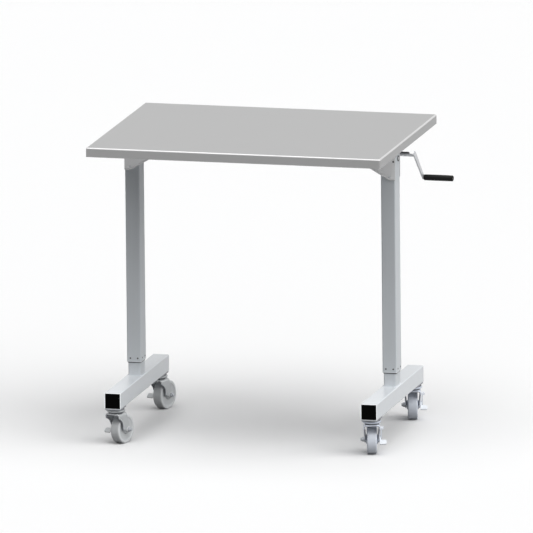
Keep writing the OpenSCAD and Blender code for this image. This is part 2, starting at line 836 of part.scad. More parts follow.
// Rivets through the tang and the square end of the shaft
module crank_rivets() {
    half = crank_square / 2;
    mid = square_end_x - square_len / 2;
    color(zinc) at_crank() for (x = [mid - square_len / 4, mid + square_len / 4]) translate([x, 0, 0]) {
        translate([0, half, 0]) rotate([-90, 0, 0]) cylinder(d = rivet_head_d, h = rivet_head_t, $fn = fn_small);
        translate([0, -half, 0]) rotate([90, 0, 0]) cylinder(d = rivet_head_d, h = rivet_head_t, $fn = fn_small);
    }
}

module grip_pin() {
    end = grip_x + grip_len - grip_wall_end;
    color(zinc) at_crank() translate([0, 0, -crank_r]) {
        rod_x(grip_pin_d, arm_x, end, fn_mid);
        rod_x(pin_head_d, end, end + pin_head_t, fn_mid);
    }
}

// Grip that spins on its pin, with a recess for the pin's head
module crank_grip() {
    end = grip_x + grip_len;
    color(grip_black) at_crank() translate([0, 0, -crank_r]) difference() {
        union() {
            rod_x(grip_d, grip_x + cut, end - cut);
            rod_x(grip_d - 2 * cut, grip_x, end);
        }
        rod_x(grip_pin_d + 2 * grip_fit, grip_x - cut, end);
        rod_x(pin_head_d + 2 * end_gap, end - grip_wall_end - end_gap, end + cut);
    }
}

// Base

module base_beam(side) {
    color(paint_light) at_leg(side) translate([0, beam_len / 2, caster_h + beam_w / 2])
        rotate([90, 0, 0]) linear_extrude(beam_len) tube_ring(beam_w, beam_w, beam_round, beam_wall);
}

// Black caps pushed into both ends of a base beam
module beam_caps(side) {
    w = beam_w - 2 * beam_wall - 2 * run_fit;
    r = max(beam_round - beam_wall, beam_wall / 4);
    color(cap_black) at_leg(side) translate([0, 0, caster_h + beam_w / 2]) for (turn = [0, 180]) rotate([0, 0, turn])
        translate([0, -beam_len / 2 + cap_inset, 0]) rotate([-90, 0, 0]) {
            linear_extrude(cap_wall) round_rect(w, w, r);
            linear_extrude(cap_depth) tube_ring(w, w, r, cap_wall);
        }
}

// Casters. Place is [side, end]: side -1 is left, end -1 is front.

function toe(side) = side < 0 ? -left_toe : right_toe;

module at_swivels(side) {
    for (end = [-1, 1]) translate([table_x + side * leg_x, end * (beam_len / 2 - swivel_inset), 0]) children();
}

// Fixed plates with the upper half of the ball race
module caster_plates(side) {
    color(paint_light) at_swivels(side) difference() {
        union() {
            translate([0, 0, caster_h - plate_t]) linear_extrude(plate_t) round_rect(plate_x, plate_y, plate_round);
            rotate_extrude($fn = fn_large) polygon(concat(
                [[king_d, caster_h - plate_t], [king_d, race_z + race_wall], [race_d / 2 - race_wall, race_z + race_wall]],
                arc([race_d / 2 - race_wall, race_z + race_wall], race_wall, down, down + up, 6),
                [[race_d / 2, caster_h - plate_t]]
            ));
        }
        cylinder(d = king_d, h = caster_h + cut, $fn = fn_mid);
    }
}

module king_pins(side) {
    color(zinc) at_swivels(side) {
        translate([0, 0, crown_z - king_head_t - end_gap]) cylinder(d = king_head_d, h = king_head_t, $fn = fn_mid);
        translate([0, 0, crown_z - end_gap]) cylinder(d = king_d, h = caster_h - crown_z + end_gap, $fn = fn_mid);
    }
}

module at_caster(side, end) {
    translate([table_x + side * leg_x, end * (beam_len / 2 - swivel_inset), 0])
        rotate([0, 0, toe(side)]) children();
}

// Outer side of the right leg at height z
function leg_at(z) = boss_out + (z - axle_z) * tan(leg_lean);

// Front view of the fork's bent sheet: two leaning legs under a level crown, with round shoulders
module fork_front() {
    bend = [leg_at(fork_top - shoulder_r) - shoulder_r / cos(leg_lean), fork_top - shoulder_r];
    low = axle_z - boss_d / 2;
    half = concat(
        arc(bend, shoulder_r, up, -leg_lean, 8),
        [[leg_at(low), low], [leg_at(low) - fork_t / cos(leg_lean), low]],
        arc(bend, shoulder_r - fork_t, -leg_lean, up, 8)
    );
    polygon(concat(half, [for (i = [len(half) - 1:-1:0]) [-half[i][0], half[i][1]]]));
}

// Side view of the fork, with y to the back and z up. A wheel arch is cut out of its front.
module fork_side() {
    toe_y = trail - toe_front;
    difference() {
        hull() {
            translate([-crown_front, fork_top - shoulder_r]) square([crown_front + crown_back, shoulder_r]);
            translate([trail, axle_z]) circle(d = boss_d, $fn = fn_mid);
            translate([toe_y + toe_round, axle_z + toe_up]) circle(r = toe_round, $fn = fn_small);
        }
        translate([toe_y - arch_r, axle_z + toe_up]) circle(r = arch_r, $fn = 4 * fn_large);
    }
}

// Top view of the fork, with round corners at the front of the crown
module fork_plan() {
    hull() {
        for (s = [-1, 1]) translate([s * (crown_d / 2 - crown_round), crown_round - crown_front])
            circle(r = crown_round, $fn = fn_mid);
        translate([-crown_d / 2, crown_round - crown_front]) square([crown_d, crown_front + trail]);
    }
}

// Fork bent from one sheet, with the lower half of the ball race and a boss at each end of the axle
module fork(side, end) {
    reach = trail + boss_d;
    color(paint_grey) at_caster(side, end) difference() {
        union() {
            intersection() {
                translate([0, reach, 0]) rotate([90, 0, 0]) linear_extrude(2 * reach) fork_front();
                translate([-crown_d, 0, 0]) rotate([90, 0, 90]) linear_extrude(2 * crown_d) fork_side();
                linear_extrude(caster_h) fork_plan();
            }
            translate([0, 0, crown_z]) difference() {
                cylinder(r = crown_front, h = race_z - race_gap - crown_z, $fn = fn_large);
                translate([0, 0, fork_t]) cylinder(r = crown_front - ring_w, h = caster_h, $fn = fn_large);
            }
            for (s = [-1, 1]) mirror([s < 0 ? 1 : 0, 0, 0])
                translate([0, trail, axle_z]) rod_x(boss_d, boss_in, boss_face);
        }
        cylinder(d = king_d + 2 * run_fit, h = caster_h, $fn = fn_mid);
        translate([0, trail, axle_z]) rod_x(axle_d + 2 * run_fit, -crown_d, crown_d);
    }
}

// Axle bolt with its nut inside and its head outside of the pedal
module axle(side, end) {
    head = boss_face + 2 * pedal_gap + pedal_t;
    color(zinc) at_caster(side, end) translate([0, trail, axle_z]) mirror([side < 0 ? 1 : 0, 0, 0]) {
        rod_x(axle_d, -boss_face - axle_nut_t - axle_tail, head);
        hex_x(nut_af, -boss_face - axle_nut_t, -boss_face);
        hex_x(nut_af, head, head + bolt_head_t);
    }
}

// Wheel with round tread edges and a dished face on each side
module wheel(side, end) {
    r = wheel_d / 2;
    half = wheel_w / 2;
    upper = concat(
        [[axle_d / 2 + run_fit, hub_half], [hub_d / 2, hub_half], [hub_d / 2 + 1, web_half],
            [r - rim_depth - rim_w, web_half], [r - rim_w, half]],
        arc([r - tread_round, half - tread_round], tread_round, 90, 0, 6)
    );
    lower = [for (i = [len(upper) - 1:-1:0]) [upper[i][0], -upper[i][1]]];
    color(wheel_grey) at_caster(side, end) translate([0, trail, axle_z]) rotate([0, 90, 0])
        rotate_extrude($fn = fn_large) polygon(concat(upper, lower));
}

// Brake pedal on the outer side, turning on the axle bolt. Its tab puts the brake on, its upper lug lets it off.
module pedal(side, end) {
    x0 = boss_face + pedal_gap;
    lug_x0 = x0 + pedal_t - pedal_gap;
    tip = [trail - pedal_reach + tab_l / 2, axle_z - pedal_low];
    lug = [trail - lug_ahead, axle_z + lug_up];
    head_room = nut_af / cos(30) + 2 * pedal_gap;
    color(paint_light) at_caster(side, end) mirror([side < 0 ? 1 : 0, 0, 0]) difference() {
        union() {
            translate([x0, 0, 0]) rotate([90, 0, 90]) linear_extrude(pedal_t) hull() {
                translate([trail, axle_z]) circle(d = pedal_ring_d, $fn = fn_mid);
                translate(tip) circle(d = pedal_tip_d, $fn = fn_mid);
            }
            translate([x0, trail - pedal_reach, axle_z - pedal_low]) rotate([tab_tilt, 0, 0])
                translate([0, -tab_l / 2, -tab_t / 2]) cube([pedal_t + tab_w, tab_l, tab_t]);
            translate([lug_x0, 0, 0]) rotate([90, 0, 90]) linear_extrude(lug_arm_t) difference() {
                hull() {
                    translate([trail, axle_z + lug_arm_w / 2]) circle(d = pedal_ring_d - lug_arm_w, $fn = fn_mid);
                    translate(lug) circle(d = lug_arm_w, $fn = fn_mid);
                }
                translate([trail, axle_z]) circle(d = head_room, $fn = fn_mid);
            }
            translate([lug_x0 + lug_d / 2 - pedal_gap, lug[0] + lug_t / 2, lug[1]]) rotate([90, 0, 0])
                cylinder(d = lug_d, h = lug_t, $fn = fn_mid);
        }
        translate([0, trail, axle_z]) rod_x(axle_d + 2 * run_fit, 0, crown_d);
    }
}

table_top();
top_stiffeners();
tie_channel();
bracket(-1);  // left_bracket
bracket(1);  // right_bracket
bracket_screws();
upper_column(-1);  // left_upper_column
upper_column(1);  // right_upper_column
glide_bush(-1);  // left_glide_bush
glide_bush(1);  // right_glide_bush
glide_screws();
head_block(-1);  // left_head_block
head_block(1);  // right_head_block
shaft_bushes();
gear_frame();
frame_screws();
crank_bearing();
shaft_hanger();
crank_shaft();
crank_gear();
crank_arm();
crank_rivets();
grip_pin();
crank_grip();
cross_shaft();
cross_shaft_gear();
shaft_mitre_gears();
lead_screw(-1);  // left_lead_screw
screw_mitre_gear(-1);  // left_mitre_gear
lead_screw(1);  // right_lead_screw
screw_mitre_gear(1);  // right_mitre_gear
lower_column(-1);  // left_lower_column
screw_nut(-1);  // left_screw_nut
base_beam(-1);  // left_base_beam
beam_caps(-1);  // left_beam_caps
caster_plates(-1);  // left_caster_plates
king_pins(-1);  // left_king_pins
lower_column(1);  // right_lower_column
screw_nut(1);  // right_screw_nut
base_beam(1);  // right_base_beam
beam_caps(1);  // right_beam_caps
caster_plates(1);  // right_caster_plates
king_pins(1);  // right_king_pins
fork(-1, -1);  // front_left_fork
axle(-1, -1);  // front_left_axle
wheel(-1, -1);  // front_left_wheel
pedal(-1, -1);  // front_left_pedal
fork(-1, 1);  // rear_left_fork
axle(-1, 1);  // rear_left_axle
wheel(-1, 1);  // rear_left_wheel
pedal(-1, 1);  // rear_left_pedal
fork(1, -1);  // front_right_fork
axle(1, -1);  // front_right_axle
wheel(1, -1);  // front_right_wheel
pedal(1, -1);  // front_right_pedal
fork(1, 1);  // rear_right_fork
axle(1, 1);  // rear_right_axle
wheel(1, 1);  // rear_right_wheel
pedal(1, 1);  // rear_right_pedal
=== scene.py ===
import json
import math

import bmesh
import bpy
from mathutils import Matrix, Vector

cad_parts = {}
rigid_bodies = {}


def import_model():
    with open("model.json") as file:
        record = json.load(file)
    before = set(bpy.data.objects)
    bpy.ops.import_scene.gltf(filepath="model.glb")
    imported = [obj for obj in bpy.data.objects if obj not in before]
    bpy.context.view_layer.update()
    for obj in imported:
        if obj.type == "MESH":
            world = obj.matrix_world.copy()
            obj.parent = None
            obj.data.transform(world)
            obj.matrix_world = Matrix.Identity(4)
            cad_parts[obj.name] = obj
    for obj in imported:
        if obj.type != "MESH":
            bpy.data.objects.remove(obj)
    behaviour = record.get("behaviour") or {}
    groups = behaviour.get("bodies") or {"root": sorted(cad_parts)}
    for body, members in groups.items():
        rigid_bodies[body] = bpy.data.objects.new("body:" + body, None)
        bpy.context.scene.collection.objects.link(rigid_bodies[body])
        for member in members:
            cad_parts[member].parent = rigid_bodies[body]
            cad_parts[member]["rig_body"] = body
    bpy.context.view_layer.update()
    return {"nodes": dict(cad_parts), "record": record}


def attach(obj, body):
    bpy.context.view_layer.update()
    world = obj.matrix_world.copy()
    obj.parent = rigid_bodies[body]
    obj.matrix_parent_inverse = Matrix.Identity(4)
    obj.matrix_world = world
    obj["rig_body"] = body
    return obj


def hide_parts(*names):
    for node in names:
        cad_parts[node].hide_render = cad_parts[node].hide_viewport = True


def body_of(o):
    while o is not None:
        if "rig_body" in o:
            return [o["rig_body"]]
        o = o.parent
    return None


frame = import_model()
nodes = frame["nodes"]
slots = {entry["node"]: entry["material_slot"] for entry in frame["record"]["subparts"]}

SIDES = {"left": -1, "right": 1}
ENDS = {"front": -1, "rear": 1}


# ---------------------------------------------------------------- shader nodes

def add_node(tree, kind, values=None, **traits):
    """New node with its options set, and with a value or a link for each input that is named."""
    node = tree.nodes.new("ShaderNode" + kind)
    for trait, value in traits.items():
        setattr(node, trait, value)
    for socket, value in (values or {}).items():
        if isinstance(value, bpy.types.NodeSocket):
            tree.links.new(value, node.inputs[socket])
        else:
            node.inputs[socket].default_value = value
    return node


def math_node(tree, operation, first, second):
    return add_node(tree, "Math", {0: first, 1: second}, operation=operation).outputs[0]


def noise(tree, place, scale, detail):
    return add_node(tree, "TexNoise", {"Vector": place, "Scale": scale, "Detail": detail}).outputs[0]


def seen_apart(tree, lighting, seen, end):
    """Ends a tree with one shader that lights the object and one that the camera and its reflections see."""
    path = add_node(tree, "LightPath").outputs
    looks = math_node(tree, "MAXIMUM", path["Is Camera Ray"], path["Is Glossy Ray"])
    looks = math_node(tree, "MAXIMUM", looks, path["Is Transmission Ray"])
    mix = add_node(tree, "MixShader", {0: looks, 1: lighting.outputs[0], 2: seen.outputs[0]})
    add_node(tree, end, {"Surface": mix.outputs[0]})


# ---------------------------------------------------------------- camera, floor and light

def set_camera():
    lens = bpy.data.cameras.new("photo_camera")
    lens.sensor_width = 36.0
    lens.lens = 1650.0
    lens.clip_start = 1.0
    lens.clip_end = 400.0
    camera = bpy.data.objects.new("photo_camera", lens)
    camera.location = (17.97355542, -70.15098806, 15.48475876)
    camera.rotation_euler = [math.radians(a) for a in (78.3222777, 0.5613974, 14.2853848)]
    bpy.context.scene.collection.objects.link(camera)
    bpy.context.scene.camera = camera


def add_sky_light(name, towards, spread, strength):
    """Far soft light that comes from the given direction, over a disc of sky that many degrees wide."""
    light = bpy.data.lights.new(name, "SUN")
    light.angle = math.radians(spread)
    light.energy = strength
    lamp = bpy.data.objects.new(name, light)
    lamp.location = Vector(towards) * 3.0
    lamp.rotation_euler = Vector(towards).to_track_quat("Z", "Y").to_euler()
    bpy.context.scene.collection.objects.link(lamp)


def set_studio():
    world = bpy.data.worlds.new("white_studio")
    bpy.context.scene.world = world
    world.use_nodes = True
    tree = world.node_tree
    tree.nodes.clear()
    room = add_node(tree, "Background", {"Color": (0.95, 0.97, 1.0, 1.0), "Strength": 0.10})
    paper = add_node(tree, "Background", {"Color": (1.0, 1.0, 1.0, 1.0), "Strength": 1.0})
    seen_apart(tree, room, paper, "OutputWorld")
    add_sky_light("ceiling_light", (0.04, -0.20, 0.98), 66.0, 1.74)
    add_sky_light("front_light", (0.32, -0.60, 0.74), 62.0, 0.74)
    add_sky_light("right_light", (0.85, -0.15, 0.50), 55.0, 1.30)
    bpy.context.scene.view_settings.view_transform = "Standard"


def set_floor():
    bpy.ops.object.select_all(action="DESELECT")
    bpy.ops.mesh.primitive_plane_add(size=120.0, location=(0, 0, 0))
    floor = bpy.context.active_object
    floor.name = "studio_floor"
    paper = bpy.data.materials.new("floor_paper")
    paper.use_nodes = True
    tree = paper.node_tree
    tree.nodes.clear()
    dim = add_node(tree, "BsdfDiffuse", {"Color": (0.20, 0.20, 0.20, 1.0)})
    white = add_node(tree, "BsdfDiffuse", {"Color": (0.97, 0.97, 0.97, 1.0)})
    seen_apart(tree, dim, white, "OutputMaterial")
    floor.data.materials.append(paper)


# ---------------------------------------------------------------- surface effects

def new_group(name, inputs, outputs):
    """Empty node group, with the sockets that bring its inputs and the ones that take its outputs."""
    group = bpy.data.node_groups.new(name, "ShaderNodeTree")
    for label, kind, value in inputs:
        socket = group.interface.new_socket(name=label, in_out="INPUT", socket_type="NodeSocket" + kind)
        socket.default_value = value
    for label, kind in outputs:
        group.interface.new_socket(name=label, in_out="OUTPUT", socket_type="NodeSocket" + kind)
    return group, group.nodes.new("NodeGroupInput").outputs, group.nodes.new("NodeGroupOutput").inputs


def make_skin_group(name, control, fine_share, cloud_scale, cloud_detail):
    """Fine marks and faint clouding, which shift a surface's colour and roughness and give its height.

    With Lines the marks are drawn out as rolling or grinding leaves them. With Grain they are the even peel of a
    powder coat or a moulding.
    """
    group, start, end = new_group(
        name, [("Color", "Color", (0.5, 0.5, 0.5, 1)), control, ("Strength", "Float", 0.05),
               ("Roughness", "Float", 0.4)], [("Color", "Color"), ("Roughness", "Float"), ("Height", "Float")])
    place = add_node(group, "TexCoord").outputs["Object"]
    if control[0] == "Lines":
        drawn = add_node(group, "VectorMath", {0: place, 1: start["Lines"]}, operation="MULTIPLY")
        fine = noise(group, drawn.outputs[0], 1.0, 3.0)
    else:
        fine = noise(group, place, start["Grain"], 2.0)
    cloud = noise(group, place, cloud_scale, cloud_detail)
    blend = math_node(group, "ADD", math_node(group, "MULTIPLY", fine, fine_share),
                      math_node(group, "MULTIPLY", cloud, 1.0 - fine_share))
    shift = math_node(group, "MULTIPLY", math_node(group, "SUBTRACT", blend, 0.5), start["Strength"])
    gain = math_node(group, "ADD", shift, 1.0)
    tinted = add_node(group, "VectorMath", {0: start["Color"], "Scale": gain}, operation="SCALE")
    group.links.new(tinted.outputs[0], end["Color"])
    group.links.new(math_node(group, "ADD", start["Roughness"], shift), end["Roughness"])
    group.links.new(fine, end["Height"])
    return group


def make_wear_and_highlight_group():
    """Edges lightened in broken patches: partly wear, partly a painted highlight along the edges."""
    group, start, end = new_group(
        "edge_wear_and_highlight", [("Color", "Color", (0.5, 0.5, 0.5, 1)), ("Edge Color", "Color", (0.8, 0.8, 0.8, 1)),
                      ("Amount", "Float", 0.5)], [("Color", "Color")])
    bevel = add_node(group, "Bevel", {"Radius": 0.0012}, samples=4)
    face = add_node(group, "NewGeometry").outputs["Normal"]
    compare = add_node(group, "VectorMath", {0: bevel.outputs[0], 1: face}, operation="DOT_PRODUCT")
    edge = math_node(group, "MULTIPLY", math_node(group, "SUBTRACT", 1.0, compare.outputs["Value"]), 5.0)
    patch = noise(group, add_node(group, "TexCoord").outputs["Object"], 120.0, 3.0)
    mask = math_node(group, "MULTIPLY", math_node(group, "MULTIPLY", edge, patch), start["Amount"])
    limit = add_node(group, "Clamp", {"Value": mask})
    mix = add_node(group, "Mix", {0: limit.outputs[0], 6: start["Color"], 7: start["Edge Color"]}, data_type="RGBA")
    group.links.new(mix.outputs[2], end["Color"])
    return group


brushed_lines = make_skin_group("brushed_lines", ("Lines", "Vector", (1, 1, 1)), 0.7, 5.0, 2.0)
coat_peel = make_skin_group("coat_peel", ("Grain", "Float", 900.0), 0.4, 9.0, 3.0)
edge_wear_and_highlight = make_wear_and_highlight_group()


# ---------------------------------------------------------------- finishes

def make_finish(name, colour, metallic, roughness, strength, bump, marks, edge=None, wear_and_highlight=0.0, specular=0.5):
    """Material whose marks are one grain for a coat or a moulding, or three line scales for brushed metal."""
    finish = bpy.data.materials.new(name)
    finish.use_nodes = True
    tree = finish.node_tree
    brushed = isinstance(marks, tuple)
    skin = add_node(tree, "Group", {"Color": (*colour, 1.0), "Strength": strength, "Roughness": roughness,
                                    "Lines" if brushed else "Grain": marks},
                    node_tree=brushed_lines if brushed else coat_peel).outputs
    shown = skin["Color"]
    # The edge colour lightens the edges in patches: wear, and a painted highlight.
    if edge:
        shown = add_node(tree, "Group", {"Color": shown, "Edge Color": (*edge, 1.0), "Amount": wear_and_highlight},
                         node_tree=edge_wear_and_highlight).outputs["Color"]
    relief = add_node(tree, "Bump", {"Strength": bump, "Distance": 0.0002, "Height": skin["Height"]})
    shader = tree.nodes["Principled BSDF"].inputs
    shader["Metallic"].default_value = metallic
    shader["Specular IOR Level"].default_value = specular
    tree.links.new(shown, shader["Base Color"])
    tree.links.new(skin["Roughness"], shader["Roughness"])
    tree.links.new(relief.outputs[0], shader["Normal"])
    return finish


def make_lit_pair(names, colours, *rest):
    """The same finish in one tone for the left and one for the right casters; the right ones are bluer and brighter:
    painted bluish light.
    """
    return {side: make_finish(name, colour, *rest) for side, name, colour in zip(SIDES, names, colours)}


SHEET_LINES = (6.0, 900.0, 900.0)
# The top sheet's near-white edge colour is a painted highlight along its edges.
top_sheet = make_finish("brushed_top_sheet", (0.395, 0.395, 0.395), 0.35, 0.42, 0.10, 0.10, SHEET_LINES,
                        edge=(0.9, 0.9, 0.9), wear_and_highlight=1.2)
# Lighter, glossier sheet for the upper bends of the top: a painted highlight along the bends.
bend_highlight_sheet = make_finish("sheet_bend_painted_highlight", (0.66, 0.66, 0.66), 0.5, 0.30, 0.10, 0.05, SHEET_LINES)
bracket_sheet = make_finish("brushed_bracket_sheet", (0.67, 0.67, 0.675), 0.35, 0.42, 0.10, 0.10, (8.0, 700.0, 700.0))
column_paint = make_finish("column_powder_coat", (0.73, 0.765, 0.795), 0.0, 0.42, 0.05, 0.12, 700.0, specular=0.2)
lip_paint = make_finish("glide_lip_paint", (0.80, 0.83, 0.86), 0.0, 0.45, 0.05, 0.12, 700.0)
# The base coat's white edge colour is a painted highlight along the sharp tube ends.
base_paint = make_finish("base_powder_coat", (0.80, 0.835, 0.87), 0.0, 0.26, 0.04, 0.08, 700.0,
                         edge=(1.0, 1.0, 1.0), wear_and_highlight=1.6)
# Near-white metal for the beam's cut rims: a painted highlight.
rim_highlight = make_finish("tube_rim_painted_highlight", (0.93, 0.95, 0.97), 0.9, 0.30, 0.04, 0.05, (900.0, 60.0, 900.0))
zinc_sheet = make_finish("zinc_plated_sheet", (0.52, 0.535, 0.55), 0.8, 0.45, 0.30, 0.08, 160.0)
zinc_bright = make_finish("bright_zinc_plate", (0.62, 0.63, 0.65), 0.85, 0.32, 0.12, 0.06, 420.0)
axle_zinc = make_finish("dull_axle_zinc", (0.52, 0.54, 0.57), 0.3, 0.45, 0.15, 0.08, 400.0)
arm_zinc = make_finish("crank_arm_zinc", (0.62, 0.63, 0.65), 0.5, 0.34, 0.10, 0.06, 420.0)
dark_screw = make_finish("dark_plated_screw", (0.10, 0.10, 0.105), 0.7, 0.4, 0.2, 0.08, 900.0)
machined = make_finish("machined_steel", (0.50, 0.50, 0.51), 0.9, 0.32, 0.20, 0.10, (1400.0, 40.0, 40.0))
ground_end = make_finish("dark_shaft_end", (0.20, 0.20, 0.21), 0.7, 0.4, 0.2, 0.10, (60.0, 900.0, 900.0))
bronze_nut = make_finish("machined_bronze", (0.55, 0.36, 0.17), 0.85, 0.38, 0.2, 0.1, (40.0, 40.0, 1200.0))
cast_grey = make_finish("cast_block_grey", (0.22, 0.22, 0.23), 0.4, 0.6, 0.3, 0.45, 420.0)
black_cap = make_finish("moulded_black_cap", (0.002, 0.002, 0.002), 0.0, 0.6, 0.2, 0.2, 1500.0, specular=0.02)
black_bush = make_finish("moulded_black_bush", (0.03, 0.03, 0.032), 0.0, 0.45, 0.2, 0.15, 1200.0)
black_grip = make_finish("moulded_black_grip", (0.006, 0.006, 0.006), 0.0, 0.42, 0.2, 0.12, 1200.0, specular=0.14)
# Darker grey for the inside of the forks and for the caster plates: painted shade.
painted_fork_shade = make_finish("fork_painted_shade", (0.30, 0.31, 0.34), 0.3, 0.5, 0.15, 0.08, 300.0)
# Near-black for the gaps round the ball races: painted shade.
painted_race_shade = make_finish("ball_race_painted_shade", (0.10, 0.105, 0.115), 0.3, 0.45, 0.2, 0.10, 600.0)
fork_zinc_lit_by_side = make_lit_pair(("pressed_fork_zinc", "fork_zinc_painted_bluish_light"), ((0.58, 0.60, 0.61), (0.70, 0.745, 0.83)),
                      0.4, 0.38, 0.14, 0.06, 300.0)
race_zinc_lit_by_side = make_lit_pair(("race_zinc_lit_by_side", "race_zinc_painted_bluish_light"), ((0.48, 0.50, 0.51), (0.60, 0.64, 0.72)),
                      0.4, 0.36, 0.10, 0.06, 300.0)
pedal_paint_lit_by_side = make_lit_pair(("pedal_powder_coat", "pedal_coat_painted_bluish_light"), ((0.74, 0.76, 0.77), (0.92, 0.95, 0.99)),
                        0.0, 0.35, 0.05, 0.10, 700.0)
wheel_core_lit_by_side = make_lit_pair(("moulded_wheel_core", "wheel_core_painted_bluish_light"), ((0.65, 0.67, 0.68), (0.76, 0.81, 0.91)),
                       0.0, 0.5, 0.08, 0.15, 800.0)
# The right tread is bluer and brighter than the left: painted bluish light.
wheel_tread_lit_by_side = {
    "left": make_finish("grey_tread_rubber", (0.80, 0.82, 0.83), 0.0, 0.55, 0.10, 0.2, 500.0),
    "right": make_finish("tread_rubber_painted_bluish_light", (0.86, 0.91, 1.0), 0.0, 0.38, 0.10, 0.2, 500.0, specular=0.9),
}

slot_finishes = {
    "sheet_steel": top_sheet, "zinc_sheet": zinc_sheet, "fastener_steel": dark_screw, "column_paint": column_paint,
    "base_paint": base_paint, "cast_block": cast_grey, "bush_plastic": black_bush, "machined_steel": machined,
    "crank_steel": ground_end, "zinc_bright": zinc_bright, "grip_plastic": black_grip, "bronze": bronze_nut,
    "cap_plastic": black_cap, "fork_steel": fork_zinc_lit_by_side["left"], "wheel_rubber": wheel_tread_lit_by_side["left"],
}


def dress_nodes():
    """Gives every node of the frame the finish of its material slot."""
    for node, slot in slots.items():
        piece = nodes[node]
        piece.data.materials.clear()
        piece.data.materials.append(slot_finishes[slot])
        piece.active_material = slot_finishes[slot]


# ---------------------------------------------------------------- sizes in metres

# Slack of the tests by place, least share of a direction that counts as along an axis, and gaps that are merged
NEAR, STRAIGHT = 0.0001, 0.9
WELD, FINE_WELD = 0.00001, 0.000002
Y, Z = 1, 2
TABLE_X = -0.05055
LEG_X = 0.3993
TOP_X, TOP_Y = 0.4572, 0.3556
TOP_LOW, TOP_HIGH, TOP_SHEET = 0.9057, 0.9344, 0.0015
BEND, HEM = 0.004, 0.012
BRACKET_LOW = 0.9027
BRACKET_DROP, BRACKET_SHEET, BRACKET_Y = 0.1015, 0.003, 0.033
TIE_SHEET = 0.0025
OUTER_X, OUTER_Y, OUTER_WALL = 0.0225, 0.030, 0.002
BRACKET_FACE = OUTER_X + 0.0005
INNER_X, INNER_Y, INNER_TOP, INNER_WALL = 0.0195, 0.027, 0.8229, 0.0025
TUBE_CORNER = 0.004
LIP_Z, LIP_TOP = 0.2090, 0.2130
BEAM_LOW, BEAM_TOP, BEAM_HALF, BEAM_REACH, BEAM_WALL = 0.1164, 0.1672, 0.0254, 0.2921, 0.0021
DRIVE_Y, DRIVE_Z = 0.010, 0.8647
CRANK_Y, CRANK_Z = 0.0453021, 0.8717540
SWIVEL_Y = 0.2556
AXLE_Z, TRAIL = 0.04445, 0.036


# ---------------------------------------------------------------- modelling helpers

def deselect():
    if bpy.context.object and bpy.context.object.mode != "OBJECT":
        bpy.ops.object.mode_set(mode="OBJECT")
    bpy.ops.object.select_all(action="DESELECT")


def take(piece):
    deselect()
    piece.select_set(True)
    bpy.context.view_layer.objects.active = piece


def start_piece(name):
    """Takes the primitive that was just added, and puts its place, turn and size into its mesh."""
    piece = bpy.context.active_object
    piece.name = name
    take(piece)
    bpy.ops.object.transform_apply(location=True, rotation=True, scale=True)
    return piece


def start_box(name, low, high):
    deselect()
    low, high = Vector(low), Vector(high)
    bpy.ops.mesh.primitive_cube_add(size=1.0, location=(low + high) / 2, scale=high - low)
    return start_piece(name)


def start_rod(name, radius, low, high, sides=32, centre=(0, 0)):
    """Cylinder along X between two places on it."""
    deselect()
    bpy.ops.mesh.primitive_cylinder_add(vertices=sides, radius=radius, depth=high - low,
                                        location=((low + high) / 2, *centre), rotation=(0, math.pi / 2, 0))
    return start_piece(name)


def pick(piece, kind, test):
    """Opens the piece and selects the faces or edges whose middle, and normal or direction, pass the test."""
    take(piece)
    bpy.ops.object.mode_set(mode="EDIT")
    bpy.ops.mesh.select_mode(type=kind)
    bpy.ops.mesh.select_all(action="DESELECT")
    cage = bmesh.from_edit_mesh(piece.data)
    if kind == "FACE":
        for face in cage.faces:
            face.select_set(bool(test(face.calc_center_median(), face.normal)))
    else:
        for edge in cage.edges:
            a, b = (v.co for v in edge.verts)
            edge.select_set(bool(test((a + b) / 2, (b - a).normalized())))
    bmesh.update_edit_mesh(piece.data)


def along(axis):
    """Test that passes the faces that look along an axis, or the edges that run along it."""
    return lambda mid, way: abs(way[axis]) > STRAIGHT


def shut():
    bpy.ops.object.mode_set(mode="OBJECT")


def drop_faces(piece, test):
    """Opens a shell where the test says."""
    pick(piece, "FACE", test)
    bpy.ops.mesh.delete(type="FACE")
    shut()


def round_edges(piece, width, segments, test):
    pick(piece, "EDGE", test)
    bpy.ops.mesh.bevel(offset=width, segments=segments, affect="EDGES", clamp_overlap=True)
    shut()


def close_up(gap=0.0):
    """Merges the points of the open piece that are within the gap, turns its faces outwards and shuts it."""
    bpy.ops.mesh.select_all(action="SELECT")
    if gap:
        bpy.ops.mesh.remove_doubles(threshold=gap)
    bpy.ops.mesh.normals_make_consistent(inside=False)
    shut()


def draw_out(way):
    """Extrudes all that is selected along a way."""
    bpy.ops.mesh.extrude_region_move(TRANSFORM_OT_translate={"value": way})


def start_outline(name, points):
    """Open line of points, each drawn out from the one before it. Points of two numbers lie in the XY plane."""
    deselect()
    bpy.ops.mesh.primitive_plane_add(size=0.001, location=(0, 0, 0))
    piece = bpy.context.active_object
    piece.name = name
    bpy.ops.object.mode_set(mode="EDIT")
    bpy.ops.mesh.select_mode(type="VERT")
    bpy.ops.mesh.select_all(action="SELECT")
    bpy.ops.mesh.merge(type="CENTER")
    last = None
    for point in points:
        place = Vector(point).to_3d()
        if last is None:
            bpy.ops.transform.translate(value=place)
        else:
            draw_out(place - last)
        last = place
    return piece


def turned(name, profile, steps=48):
    """Solid turned about X. The profile is (along, radius) pairs; it closes on itself or at the axis."""
    piece = start_outline(name, profile)
    bpy.ops.mesh.select_all(action="SELECT")
    bpy.ops.mesh.spin(steps=steps, angle=2 * math.pi, center=(0, 0, 0), axis=(1, 0, 0))
    close_up(FINE_WELD)
    return piece


def plate(name, outline, thick):
    """Flat plate with the outline in XY, from z = 0 up to its thickness."""
    piece = start_outline(name, outline)
    bpy.ops.mesh.select_all(action="SELECT")
    bpy.ops.mesh.edge_face_add()
    draw_out((0, 0, thick))
    close_up()
    return piece


